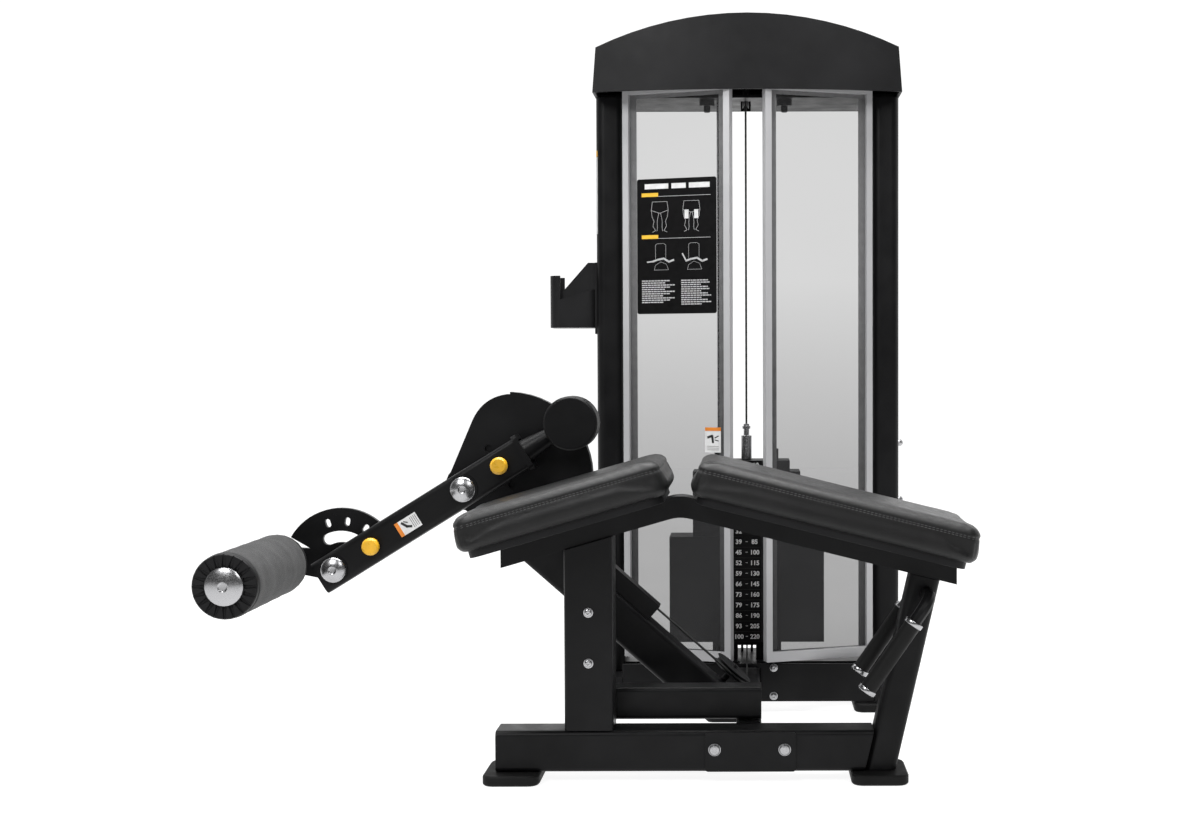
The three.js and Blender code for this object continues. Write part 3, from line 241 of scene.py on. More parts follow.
def leather():
    look = Look("pad_leather", (0.012, 0.012, 0.013), 0.42)
    cells = look.node("ShaderNodeTexVoronoi", Scale=520, feature="DISTANCE_TO_EDGE")
    look.link(look.place(), cells.inputs["Vector"])
    grain = look.ramp(cells.outputs["Distance"], 0.0, 1.0, start=0.0, end=0.16)
    look.vary_color(look.noise(14, 6), (0.001, 0.001, 0.0011), (0.003, 0.003, 0.0032))
    look.vary_roughness(look.noise(60, 5), 0.3, 0.42)
    look.bump(grain, 0.35, 0.0005)
    look.bump(look.noise(18, 3), 0.12, 0.004)
    look.set(Specular_IOR_Level=LEATHER_SPECULAR)
    return look.material


def foam_skin():
    look = Look("roller_foam", (0.035, 0.035, 0.036), 0.75)
    look.vary_color(look.noise(40, 6), (0.015, 0.015, 0.0155), (0.034, 0.034, 0.035))
    pores = look.node("ShaderNodeTexVoronoi", Scale=900)
    look.link(look.place(), pores.inputs["Vector"])
    look.bump(pores.outputs["Distance"], 0.45, 0.0006)
    look.set(Sheen_Weight=0.12, Sheen_Roughness=0.5, Specular_IOR_Level=0.2)
    return look.material


def bright_metal(name, color, roughness, stretch=(1, 1, 1), scratch=300, metallic=1.0):
    look = Look(name, color, roughness, metallic)
    darker = tuple(c * 0.94 for c in color)
    look.vary_color(look.noise(15, 4), darker, color)
    look.vary_roughness(look.noise(scratch, 5, stretch), roughness * 0.9, roughness * 1.2 + 0.02)
    look.bump(look.noise(scratch * 2, 3, stretch), 0.02, 0.0003)
    return look.material


def frosted_sheet():
    look = Look("frosted_sheet", (0.04, 0.04, 0.041), 0.55)
    look.vary_color(look.noise(3, 3), (0.035, 0.035, 0.036), (0.055, 0.055, 0.056))
    look.bump(look.noise(700, 3), 0.2, 0.0003)
    # Painted shade: the sheet lets less of the backdrop through towards the bottom (alpha 0.52 low, 0.22
    # high), so it reads darker low down and lighter at the top.
    height = look.node("ShaderNodeSeparateXYZ")
    look.link(look.coords.outputs["Object"], height.inputs["Vector"])
    look.link(look.ramp(height.outputs["Z"], 0.52, 0.22, start=0.1, end=1.0), look.shader.inputs["Alpha"])
    look.set(Specular_IOR_Level=DULL_SPECULAR)
    return look.material


def plate_paint():
    look = Look("plate_paint", (0.012, 0.012, 0.012), 0.5)
    look.vary_color(look.noise(12, 5), (0.009, 0.009, 0.009), (0.02, 0.02, 0.021))
    look.vary_roughness(look.noise(90, 5), 0.4, 0.62)
    look.bump(look.noise(260, 5), 0.3, 0.0005)
    look.set(Specular_IOR_Level=DULL_SPECULAR)
    return look.material


def gloss_paint(name, color, roughness=0.3, specular=0.5):
    look = Look(name, color, roughness)
    darker = tuple(c * 0.8 for c in color)
    look.vary_color(look.noise(60, 3), darker, color)
    look.vary_roughness(look.noise(120, 3), roughness - 0.05, roughness + 0.12)
    look.bump(look.noise(500, 2), 0.08, 0.0003)
    look.set(Specular_IOR_Level=specular)
    return look.material


MATERIALS = {
    "frame_paint": powder_coat("frame_paint", (0.0035, 0.0035, 0.0038), 0.36),
    "foot_rubber": textured_plastic("foot_rubber", (0.006, 0.006, 0.006), 0.6),
    "grip_rubber": textured_plastic("grip_rubber", (0.005, 0.005, 0.005), 0.55, 500, 0.5),
    "upholstery": leather(),
    "black_plastic": textured_plastic("black_plastic", (0.007, 0.007, 0.0075), 0.42),
    "foam": foam_skin(),
    "chrome": bright_metal("chrome", (0.40, 0.40, 0.41), 0.24),
    "bright_steel": bright_metal("bright_steel", (0.42, 0.42, 0.43), 0.26, (1, 8, 1)),
    "yellow_knob": gloss_paint("yellow_knob", (0.80, 0.44, 0.02), 0.28),
    "silver_frame": bright_metal("silver_frame", (0.44, 0.44, 0.45), 0.45, (12, 12, 0.4), 120, 0.25),
    "frosted_sheet": frosted_sheet(),
    "placard_black": gloss_paint("placard_black", (0.003, 0.003, 0.0032), 0.35, 0.12),
    "plate_iron": plate_paint(),
    "cable_sheath": gloss_paint("cable_sheath", (0.012, 0.012, 0.012), 0.4),
}
WHITE_INK = gloss_paint("white_ink", (0.72, 0.72, 0.72), 0.5)
YELLOW_INK = gloss_paint("yellow_ink", (0.85, 0.5, 0.03), 0.45)
ORANGE_INK = gloss_paint("orange_ink", (0.72, 0.22, 0.02), 0.45)
BLACK_INK = gloss_paint("black_ink", (0.01, 0.01, 0.01), 0.45)
GREY_INK = gloss_paint("grey_ink", (0.5, 0.5, 0.51), 0.5)
THREAD = gloss_paint("seam_thread", (0.10, 0.10, 0.102), 0.6)
STRIP = gloss_paint("edge_strip", (0.38, 0.38, 0.385), 0.6)

NODES = {entry["node"]: entry["material_slot"] for entry in frame["record"]["subparts"]}
EDGE_WIDTH = {"cable_sheath": 0.2 * MM, "frosted_sheet": 0.3 * MM, "frame_paint": 1.2 * MM}
USUAL_EDGE = 0.9 * MM


def dress_cad_nodes():
    for node, slot in NODES.items():
        obj = bpy.data.objects[node]
        if not obj.material_slots:
            obj.data.materials.append(MATERIALS[slot])
        for place in obj.material_slots:
            place.material = MATERIALS[slot]
        soften_edges(obj, EDGE_WIDTH.get(slot, USUAL_EDGE))


dress_cad_nodes()


# ------------------------------------------------------------------ pads
PAD_VOXEL = 5 * MM
PAD_GROWTH = 3 * MM
PAD_CAP = 4 * MM
SEAM_DROPS = (15 * MM, 18.5 * MM)
STITCH, STITCH_GAP = 4.6 * MM, 2.4 * MM
STITCH_WIDTH, STITCH_HEIGHT = 0.8 * MM, 0.7 * MM
OUTLINE_STEP = 2.5 * MM
HELD_DEPTH = 9 * MM
GROOVE_WIDTH, GROOVE_DEPTH = 2.6 * MM, 1.7 * MM
CLOTH_FRAMES = 20
CLOTH_PRESSURE = 4
CLOTH_STIFFNESS = 18
RAY_START = 60 * MM


class PadFrame:
    """The pad's own axes: u along it, v across it, w out of its top."""

    def __init__(self, node):
        mesh = bpy.data.objects[node].data
        tops = [face for face in mesh.polygons if face.normal.z > 0.7]
        self.w = max(tops, key=lambda face: face.area).normal.copy()
        self.v = Vector((0, 1, 0))
        self.u = self.v.cross(self.w).normalized()
        self.turn = Matrix((self.u, self.v, self.w)).transposed()
        local = [self.turn.transposed() @ vertex.co for vertex in mesh.vertices]
        self.low = min(point.z for point in local)
        self.high = max(point.z for point in local)
        plan = [point.xy for point in local]
        hull = [plan[i] for i in convex_hull_2d(plan)]
        self.outline = even_loop(hull, OUTLINE_STEP)

    def world(self, u, v, w):
        return self.turn @ Vector((u, v, w))


def even_loop(corners, step):
    """Points at an even spacing round a closed outline."""
    points = []
    for here, there in zip(corners, corners[1:] + corners[:1]):
        count = max(1, round((there - here).length / step))
        points += [here.lerp(there, i / count) for i in range(count)]
    return points


def inflate(obj, pad):
    """Swells the cushion as cloth over air, held along its underside."""
    held = obj.vertex_groups.new(name="held")
    limit = pad.low + HELD_DEPTH
    low = [v.index for v in obj.data.vertices if (pad.turn.transposed() @ v.co).z < limit]
    held.add(low, 1.0, "REPLACE")
    cloth = obj.modifiers.new("cloth", "CLOTH")
    cloth.settings.vertex_group_mass = "held"
    cloth.settings.use_pressure = True
    cloth.settings.uniform_pressure_force = CLOTH_PRESSURE
    cloth.settings.tension_stiffness = CLOTH_STIFFNESS
    cloth.settings.compression_stiffness = CLOTH_STIFFNESS
    cloth.settings.effector_weights.gravity = 0
    cloth.collision_settings.use_collision = False
    cloth.point_cache.frame_start = 1
    cloth.point_cache.frame_end = CLOTH_FRAMES
    scene = bpy.context.scene
    for step in range(1, CLOTH_FRAMES + 1):
        scene.frame_set(step)
    graph = bpy.context.evaluated_depsgraph_get()
    swollen = obj.evaluated_get(graph).data
    moved = []
    for before, after in zip(obj.data.vertices, swollen.vertices):
        shift = after.co - before.co
        if shift.length > PAD_CAP:
            shift = shift.normalized() * PAD_CAP
        moved.append(before.co + shift)
    obj.modifiers.remove(cloth)
    for vertex, place in zip(obj.data.vertices, moved):
        vertex.co = place
    scene.frame_set(1)


def apply_modifiers(obj):
    graph = bpy.context.evaluated_depsgraph_get()
    mesh = bpy.data.meshes.new_from_object(obj.evaluated_get(graph))
    obj.modifiers.clear()
    obj.data = mesh


def sew_groove(obj, pad):
    """Pulls the cover in along the seam below the top edge."""
    middle = pad.high - sum(SEAM_DROPS) / 2
    inverse = pad.turn.transposed()
    centre_line = pad_centre(pad)
    for vertex in obj.data.vertices:
        local = inverse @ vertex.co
        depth = math.exp(-((local.z - middle) / GROOVE_WIDTH) ** 2)
        inward = centre_line - local.xy
        if depth > 0.02:
            step = inward.normalized() * depth * GROOVE_DEPTH
            vertex.co = pad.turn @ Vector((local.x + step.x, local.y + step.y, local.z))


def pad_centre(pad):
    total = Vector((0, 0))
    for point in pad.outline:
        total += point
    return total / len(pad.outline)


def seam_path(obj, pad, height):
    """The line where a plane at `height` meets the side of the cushion."""
    tree = BVHTree.FromObject(obj, bpy.context.evaluated_depsgraph_get())
    centre = pad_centre(pad)
    path = []
    for point in pad.outline:
        outward = (point - centre).normalized()
        start = pad.world(*(point + outward * RAY_START), height)
        towards = pad.turn @ Vector((-outward.x, -outward.y, 0))
        hit = tree.ray_cast(start, towards)[0]
        if hit is not None:
            path.append(hit)
    return path


def add_stitches(bm, path, up):
    """A row of short rounded stitches along a closed path."""
    travelled, start = 0.0, None
    period = STITCH + STITCH_GAP
    for here, there in zip(path, path[1:] + path[:1]):
        length = (there - here).length
        if start is None:
            start = here
        travelled += length
        if travelled >= period:
            along = (there - start).normalized()
            middle = start + along * STITCH / 2
            side = up.cross(along).normalized()
            turn = Matrix((along, side, up)).transposed()
            add_box(bm, middle, (STITCH, STITCH_WIDTH, STITCH_HEIGHT), turn)
            travelled, start = 0.0, None


def grown_copy(node, piece, pad):
    """The plain pad, copied and grown a little about its middle to allow for the smoothing."""
    obj = bpy.data.objects.new(piece, bpy.data.objects[node].data.copy())
    bpy.context.scene.collection.objects.link(obj)
    centre = centre_of(node)
    inverse = pad.turn.transposed()
    span = [(max(p[i] for p in pad.outline) - min(p[i] for p in pad.outline)) for i in (0, 1)]
    sizes = (*span, pad.high - pad.low)
    scale = Matrix.Diagonal([1 + PAD_GROWTH / size for size in sizes])
    for vertex in obj.data.vertices:
        vertex.co = centre + pad.turn @ scale @ inverse @ (vertex.co - centre)
    return obj


def smooth_cover(obj):
    smooth = obj.modifiers.new("smooth", "SMOOTH")
    smooth.factor = 0.5
    smooth.iterations = 2
    divide = obj.modifiers.new("divide", "SUBSURF")
    divide.levels = divide.render_levels = 1
    apply_modifiers(obj)


def seam_thread(obj, pad, name):
    bm = bmesh.new()
    for drop in SEAM_DROPS:
        add_stitches(bm, seam_path(obj, pad, pad.high - drop), pad.w)
    return mesh_object(name, bm, THREAD, smooth=False)


def build_pad(node, piece):
    """A cloth cushion with a sewn channel, in place of the plain pad."""
    pad = PadFrame(node)
    obj = grown_copy(node, piece, pad)
    remesh = obj.modifiers.new("skin", "REMESH")
    remesh.mode = "VOXEL"
    remesh.voxel_size = PAD_VOXEL
    apply_modifiers(obj)
    inflate(obj, pad)
    smooth_cover(obj)
    sew_groove(obj, pad)
    obj.data.materials.clear()
    obj.data.materials.append(MATERIALS["upholstery"])
    for face in obj.data.polygons:
        face.use_smooth = True
    thread = seam_thread(obj, pad, piece + "_stitching")
    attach(obj, "frame")
    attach(thread, "frame")
    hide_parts(node)


build_pad("thigh_pad", "thigh_cushion")
build_pad("chest_pad", "chest_cushion")


# ------------------------------------------------------------------ foam roller and cable
FOAM_BORE = 16 * MM
FOAM_EDGE = 7 * MM
FOAM_EDGE_STEPS = 6
FOAM_STEPS = 24
FOAM_SIDES = 72
FOAM_SINK = 0.6 * MM
FOAM_WAVE = 0.5 * MM


def foam_profile(low, high, radius):
    """Radius and place along the roller, with rounded ends and a slightly uneven skin."""
    inner = radius - FOAM_EDGE
    profile = [(FOAM_BORE, low), (inner, low)]
    for i in range(1, FOAM_EDGE_STEPS + 1):
        angle = i / FOAM_EDGE_STEPS * math.pi / 2
        profile.append((inner + FOAM_EDGE * math.sin(angle), low + FOAM_EDGE * (1 - math.cos(angle))))
    length = high - low
    for i in range(1, FOAM_STEPS):
        wave = FOAM_WAVE * math.sin(i * 1.7) * math.sin(i * 0.61)
        along = low + FOAM_EDGE + (length - 2 * FOAM_EDGE) * i / FOAM_STEPS
        profile.append((radius - FOAM_SINK + wave, along))
    for i in range(FOAM_EDGE_STEPS + 1):
        angle = i / FOAM_EDGE_STEPS * math.pi / 2
        profile.append((inner + FOAM_EDGE * math.cos(angle), high - FOAM_EDGE * (1 - math.sin(angle))))
    profile.append((FOAM_BORE, high))
    return profile


def build_foam():
    """The soft sleeve of the roller, which turns with it."""
    low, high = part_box("foam_roller")
    profile = foam_profile(low.y, high.y, (high.z - low.z) / 2)
    centre = centre_of("foam_roller")
    place = Matrix.Translation((centre.x, 0, centre.z)) @ Matrix.Rotation(-math.pi / 2, 4, "X")
    bm = bmesh.new()
    rings = []
    for radius_here, along in profile:
        ring = []
        for i in range(FOAM_SIDES):
            angle = 2 * math.pi * i / FOAM_SIDES
            point = Vector((radius_here * math.cos(angle), radius_here * math.sin(angle), along))
            ring.append(bm.verts.new(place @ point))
        rings.append(ring)
    skin_rings(bm, rings, closed=True)
    bmesh.ops.recalc_face_normals(bm, faces=bm.faces)
    foam = mesh_object("roller_foam_sleeve", bm, MATERIALS["foam"])
    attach(foam, "roller")
    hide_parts("foam_roller")


build_foam()


CABLE_TURNS = 46
CABLE_RINGS = 460
CABLE_SIDES = 18
CABLE_STRANDS = 6
STRAND_RELIEF = 0.03


def cable_ring(bm, centre, z, radius, twist):
    """One ring of points round the cable, lobed by its strands."""
    ring = []
    for k in range(CABLE_SIDES):
        angle = 2 * math.pi * k / CABLE_SIDES
        lobe = math.cos(CABLE_STRANDS * (angle + twist / CABLE_STRANDS))
        size = radius * (1 - STRAND_RELIEF + STRAND_RELIEF * lobe)
        ring.append(bm.verts.new((centre.x + size * math.cos(angle), centre.y + size * math.sin(angle), z)))
    return ring


def build_stack_cable():
    """The rope from the top pulley down to the head plate, with the twist of its strands."""
    low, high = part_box("cable_to_stack")
    centre = centre_of("cable_to_stack")
    radius = (high.x - low.x) / 2
    bm = bmesh.new()
    grid = []
    for i in range(CABLE_RINGS + 1):
        z = low.z + (high.z - low.z) * i / CABLE_RINGS
        twist = 2 * math.pi * CABLE_TURNS * i / CABLE_RINGS
        grid.append(cable_ring(bm, centre, z, radius, twist))
    skin_rings(bm, grid, closed=False)
    bm.faces.new(list(reversed(grid[0])))
    bm.faces.new(grid[-1])
    cable = mesh_object("stack_cable", bm, MATERIALS["cable_sheath"])
    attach(cable, "frame")
    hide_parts("cable_to_stack")
    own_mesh(cable)


build_stack_cable()


# ------------------------------------------------------------------ fasteners
BOLT_PROFILE = [(0, 0), (9.4, 0), (9.4, 1.4), (7.2, 1.7), (7.0, 4.0), (6.2, 5.6), (4.3, 6.6),
                (3.2, 6.6), (2.9, 4.4), (0, 4.0)]
RAIL_BOLT_PROFILE = [(0, 0), (12, 0), (12, 2), (10.6, 2.3), (10.4, 4.5), (9, 6.2), (5.4, 6.8),
                     (4, 6.8), (3.8, 6.3), (0, 6.3)]
NUT_PROFILE = [(0, 0), (13, 0), (13, 2), (8, 2.2), (8, 9), (6.6, 11), (3, 14), (0, 14.5)]
COLLAR_PROFILE = [(0, 0), (18, 0), (18, 12), (16.5, 13.5), (8, 13.5), (8, 26), (6, 28), (0, 28)]


def turned_piece(name, profile, places, material, body="frame", sides=32):
    """One piece made of equal turned solids, each at a (position, direction)."""
    bm = bmesh.new()
    for position, direction in places:
        scaled = [(radius * MM, height * MM) for radius, height in profile]
        add_lathe(bm, scaled, facing(direction, position), sides)
    bmesh.ops.recalc_face_normals(bm, faces=bm.faces)
    obj = mesh_object(name, bm, material)
    obj.data.set_sharp_from_angle(angle=math.radians(35))
    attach(obj, body)
    return obj


def build_bolts():
    front, right, down = (0, -1, 0), (1, 0, 0), (0, 0, -1)
    low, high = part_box("bench_post")
    middle = (low.x + high.x) / 2
    places = [(Vector((middle, low.y, low.z + rise)), front) for rise in (0.131, 0.229)]
    turned_piece("post_bolts", BOLT_PROFILE, places, MATERIALS["bright_steel"])
    low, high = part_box("column_right")
    depth = (low.y + high.y) / 2
    places = [(Vector((high.x, depth - 0.02, low.z + rise)), right) for rise in (0.402, 0.538)]
    turned_piece("column_bolts", NUT_PROFILE, places, MATERIALS["bright_steel"])
    low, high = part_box("base_cover")
    middle = (low.x + high.x) / 2
    places = [(Vector((middle + 0.058, low.y, low.z + rise)), front) for rise in (0.013, 0.079)]
    turned_piece("cover_bolts", BOLT_PROFILE, places, MATERIALS["bright_steel"])
    low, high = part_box("top_crossbar")
    stack = centre_of("head_plate")
    places = [(Vector((stack.x + side * 0.092, stack.y - 0.02, low.z)), down) for side in (-1, 1)]
    turned_piece("crossbar_studs", COLLAR_PROFILE, places, MATERIALS["frame_paint"])
    low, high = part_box("rail_wrap_plate")
    middle = (low.x + high.x) / 2
    face = low.y + 6 * MM
    places = [(Vector((middle + side, face, low.z + 0.043)), front) for side in (-0.069, 0.066)]
    turned_piece("rail_bolts", RAIL_BOLT_PROFILE, places, MATERIALS["bright_steel"])


build_bolts()


# ------------------------------------------------------------------ grip rings
RING_PROFILE = [(16.6, 0), (17.7, 0.4), (18.3, 1.4), (18.3, 7.8), (17.7, 8.8), (16.6, 9.2)]


def grip_axis(node):
    """Both ends of a round grip, from the spread of its vertices."""
    points = [vertex.co.copy() for vertex in bpy.data.objects[node].data.vertices]
    middle = sum(points, Vector()) / len(points)
    far = max(points, key=lambda point: (point - middle).length)
    axis = (far - middle).normalized()
    for _ in range(40):
        total = Vector()
        for point in points:
            total += (point - middle) * (point - middle).dot(axis)
        axis = total.normalized()
    along = [(point - middle).dot(axis) for point in points]
    return middle + axis * min(along), middle + axis * max(along)


def ring_tube(bm, place, profile, sides=48):
    rings = []
    for radius, height in profile:
        ring = []
        for i in range(sides):
            angle = 2 * math.pi * i / sides
            knurl = 0.12 * MM if i % 2 and 1 < height < 8.5 else 0
            size = radius * MM - knurl
            point = Vector((size * math.cos(angle), size * math.sin(angle), height * MM))
            ring.append(bm.verts.new(place @ point))
        rings.append(ring)
    skin_rings(bm, rings, closed=True)


def build_grip_rings():
    for word in ("front", "rear"):
        start, end = grip_axis(f"handle_grip_{word}")
        bm = bmesh.new()
        ring_tube(bm, facing(end - start, start), RING_PROFILE)
        ring_tube(bm, facing(start - end, end), RING_PROFILE)
        bmesh.ops.recalc_face_normals(bm, faces=bm.faces)
        rings = mesh_object(f"grip_rings_{word}", bm, MATERIALS["chrome"])
        rings.data.set_sharp_from_angle(angle=math.radians(40))
        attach(rings, "frame")


build_grip_rings()


# ------------------------------------------------------------------ flat faces for labels
class Flat:
    """The front face of a CAD plate: u runs to its right, v runs up, both from its lower left."""

    def __init__(self, node):
        mesh = bpy.data.objects[node].data
        fronts = [face for face in mesh.polygons if face.normal.y < -0.5]
        self.out = max(fronts, key=lambda face: face.area).normal.copy()
        self.right = Vector((0, 0, 1)).cross(self.out).normalized()
        self.up = self.out.cross(self.right)
        self.set_corner([vertex.co for vertex in mesh.vertices])

    def set_corner(self, points):
        spans = [[point.dot(axis) for point in points] for axis in (self.right, self.up, self.out)]
        self.width = max(spans[0]) - min(spans[0])
        self.height = max(spans[1]) - min(spans[1])
        self.origin = self.right * min(spans[0]) + self.up * min(spans[1]) + self.out * max(spans[2])
        self.turn = Matrix((self.right, self.up, self.out)).transposed()

    def at(self, u, v, lift=0.0):
        return self.origin + self.right * u + self.up * v + self.out * lift

    def bar(self, bm, u0, u1, v0, v1, lift=0.1 * MM, thick=0.3 * MM):
        """A thin printed rectangle between two places each way."""
        middle = self.at((u0 + u1) / 2, (v0 + v1) / 2, lift + thick / 2)
        add_box(bm, middle, (u1 - u0, v1 - v0, thick), self.turn)

    def stroke(self, bm, points, width, lift=0.1 * MM, thick=0.3 * MM):
        """A printed line through places on the face."""
        for (u0, v0), (u1, v1) in zip(points, points[1:]):
            length = math.hypot(u1 - u0, v1 - v0) + width * 0.6
            spin = Matrix.Rotation(math.atan2(v1 - v0, u1 - u0), 3, "Z")
            middle = self.at((u0 + u1) / 2, (v0 + v1) / 2, lift + thick / 2)
            add_box(bm, middle, (length, width, thick), self.turn @ spin)


def box_flat(origin, right, up):
    """A face given by its lower left corner and its two directions."""
    flat = Flat.__new__(Flat)
    flat.right, flat.up = Vector(right).normalized(), Vector(up).normalized()
    flat.out = flat.right.cross(flat.up)
    flat.origin = Vector(origin)
    flat.turn = Matrix((flat.right, flat.up, flat.out)).transposed()
    return flat


def printed(name, bm, material, body="frame"):
    obj = mesh_object(name, bm, material, smooth=False)
    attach(obj, body)
    return obj


# ------------------------------------------------------------------ instruction placard
def leg_figure(flat, bm, u, v, size):
    """Outline of hips and legs, standing."""
    hips = [(-0.26, 1.0), (0.26, 1.0), (0.3, 0.72), (0, 0.62), (-0.3, 0.72), (-0.26, 1.0)]
    flat.stroke(bm, [(u + x * size, v + z * size) for x, z in hips], 0.7 * MM)
    for side in (-1, 1):
        outer = [(0.3, 0.72), (0.27, 0.5), (0.2, 0.36), (0.24, 0.2), (0.15, 0.05), (0.26, 0)]
        inner = [(0.03, 0.62), (0.08, 0.42), (0.09, 0.3), (0.08, 0.16), (0.1, 0.04)]
        for line in (outer, inner):
            flat.stroke(bm, [(u + side * x * size, v + z * size) for x, z in line], 0.7 * MM)


def machine_figure(flat, bm, u, v, size, bent):
    """Outline of the machine with a lying figure on it."""
    tower = [(-0.2, 0.45), (-0.2, 0.95), (-0.12, 1.0), (0.12, 1.0), (0.2, 0.95), (0.2, 0.45)]
    flat.stroke(bm, [(u + x * size, v + z * size) for x, z in tower], 0.5 * MM)
    bench = [(-0.25, 0.05), (-0.2, 0.22), (0.0, 0.34), (0.22, 0.26), (0.3, 0.05), (-0.25, 0.05)]
    flat.stroke(bm, [(u + x * size, v + z * size) for x, z in bench], 0.5 * MM)
    body = [(0.5, 0.4), (0.32, 0.34), (0.12, 0.46), (-0.12, 0.42), (-0.3, 0.36)]
    flat.stroke(bm, [(u + x * size, v + z * size) for x, z in body], 4.2 * MM)
    shin = (-0.52, 0.34) if not bent else (-0.44, 0.62)
    flat.stroke(bm, [(u - 0.3 * size, v + 0.36 * size), (u + shin[0] * size, v + shin[1] * size)], 3 * MM)


LINE_PITCH = 5 * MM
LINE_HALF = 1.25 * MM
WORD_GAP = 1.3 * MM


def text_lines(flat, bm, u, v, width, count, seed):
    """Thin broken bars that stand for lines of small print."""
    for row in range(count):
        start = u
        middle = v - row * LINE_PITCH
        end = u + width * (0.55 + 0.45 * abs(math.sin(seed + row * 2.1)))
        step = 0
        while start < end - 3 * MM:
            length = (3.5 + 4.5 * abs(math.sin(seed * 3 + row + step * 1.9))) * MM
            stop = min(start + length, end)
            flat.bar(bm, start, stop, middle - LINE_HALF, middle + LINE_HALF)
            start = stop + WORD_GAP
            step += 1


def build_placard():
    flat = Flat("placard")
    wide, tall = flat.width, flat.height
    white, yellow, grey = bmesh.new(), bmesh.new(), bmesh.new()
    for start, end in ((0.10, 0.40), (0.44, 0.62), (0.66, 0.92)):
        flat.bar(white, wide * start, wide * end, tall * 0.925, tall * 0.963)
    for level in (0.868, 0.557):
        flat.bar(yellow, wide * 0.06, wide * 0.27, tall * level, tall * (level + 0.028))
        flat.bar(grey, wide * 0.27, wide * 0.93, tall * level, tall * level + 0.9 * MM)
    leg_figure(flat, grey, wide * 0.29, tall * 0.605, tall * 0.225)
    leg_figure(flat, grey, wide * 0.69, tall * 0.605, tall * 0.225)
    for side in (-1, 1):
        middle = wide * 0.69 + side * tall * 0.038
        flat.bar(white, middle - 5 * MM, middle + 5 * MM, tall * 0.70, tall * 0.765)
    machine_figure(flat, grey, wide * 0.30, tall * 0.315, tall * 0.205, False)
    machine_figure(flat, grey, wide * 0.72, tall * 0.315, tall * 0.205, True)
    text_lines(flat, grey, wide * 0.06, tall * 0.245, wide * 0.42, 11, 0.7)
    text_lines(flat, grey, wide * 0.56, tall * 0.245, wide * 0.38, 12, 2.3)
    printed("placard_white", white, WHITE_INK)
    printed("placard_yellow", yellow, YELLOW_INK)
    printed("placard_grey", grey, GREY_INK)


build_placard()


# ------------------------------------------------------------------ small hazard labels
def hazard_label(name, flat, width, height, upright, body):
    """White label with an orange band and a plain black shape; `upright` sets the band on top."""
    base, band, ink = bmesh.new(), bmesh.new(), bmesh.new()
    flat.bar(base, 0, width, 0, height, 0.05 * MM, 0.25 * MM)
    lift = 0.32 * MM
    if upright:
        flat.bar(band, 0, width, height * 0.86, height, lift)
        flat.stroke(ink, [(width * 0.18, height * 0.6), (width * 0.45, height * 0.66),
                          (width * 0.5, height * 0.4)], width * 0.14, lift)
        flat.stroke(ink, [(width * 0.62, height * 0.58), (width * 0.84, height * 0.66)], width * 0.06, lift)
        flat.stroke(ink, [(width * 0.62, height * 0.5), (width * 0.84, height * 0.46)], width * 0.06, lift)
        for row in (0.24, 0.17, 0.10):
            flat.bar(ink, width * 0.14, width * 0.86, height * row, height * row + 0.8 * MM, lift)
    else:
        flat.bar(band, 0, width * 0.16, 0, height, lift)
        flat.stroke(ink, [(width * 0.3, height * 0.8), (width * 0.42, height * 0.45),
                          (width * 0.58, height * 0.3)], height * 0.16, lift)
        flat.stroke(ink, [(width * 0.4, height * 0.82), (width * 0.52, height * 0.66)], height * 0.07, lift)
        for row in (0.68, 0.76, 0.84, 0.92):
            flat.bar(ink, width * row, width * row + 0.8 * MM, height * 0.12, height * 0.88, lift)
    printed(name, base, WHITE_INK, body)
    printed(name + "_band", band, ORANGE_INK, body)
    printed(name + "_shape", ink, BLACK_INK, body)


def build_hazard_labels():
    panel = Flat("frosted_panel_left")
    corner = panel.at(panel.width - 49 * MM, 461 * MM)
    hazard_label("panel_label", box_flat(corner, panel.right, panel.up), 39 * MM, 58 * MM, True, "frame")
    knee, shin = centre_of("knee_axle"), centre_of("shin_axle")
    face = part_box("lever_tube")[0].y + 3 * MM
    along = Vector((knee.x - shin.x, 0, knee.z - shin.z)).normalized()
    up = Vector((-along.z, 0, along.x))
    middle = Vector((knee.x, face, knee.z)) - along * 134 * MM + up * -2 * MM
    corner = middle - along * 25 * MM - up * 15.5 * MM
    hazard_label("lever_label", box_flat(corner, along, up), 50 * MM, 31 * MM, False, "lever")


build_hazard_labels()


def build_column_label():
    """Narrow label round the front corner of the left column."""
    low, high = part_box("column_left")
    radius = 22 * MM
    wrap = radius + 0.35 * MM
    centre = Vector((low.x + radius, low.y + radius))
    steps = [(i / 8) * math.radians(36) for i in range(9)]
    outline = [(low.x - 0.3 * MM, centre.y + 46 * MM)]
    outline += [(centre.x - wrap * math.cos(a), centre.y - wrap * math.sin(a)) for a in steps]
    bands = (("column_label", 1.115, 1.296, WHITE_INK), ("column_label_band", 1.297, 1.311, YELLOW_INK))
    for name, bottom, top, ink in bands:
        bm = bmesh.new()
        rows = [[bm.verts.new((x, y, z)) for x, y in outline] for z in (bottom, top)]
        for i in range(len(outline) - 1):
            bm.faces.new((rows[0][i], rows[0][i + 1], rows[1][i + 1], rows[1][i]))
        bmesh.ops.solidify(bm, geom=bm.faces, thickness=0.25 * MM)
        bmesh.ops.recalc_face_normals(bm, faces=bm.faces)
        printed(name, bm, ink)


build_column_label()


# ------------------------------------------------------------------ weight stack
KILOS = (5, 11, 18, 25, 32, 39, 45, 52, 59, 66, 73, 79, 86, 93, 100)
POUNDS = tuple(range(10, 221, 15))
LABEL_HALF = 34 * MM
FIGURE_SIZE = 15 * MM
FIGURE_WEIGHT = 0.42 * MM
HEAD_LABEL_HALF = 10.5 * MM


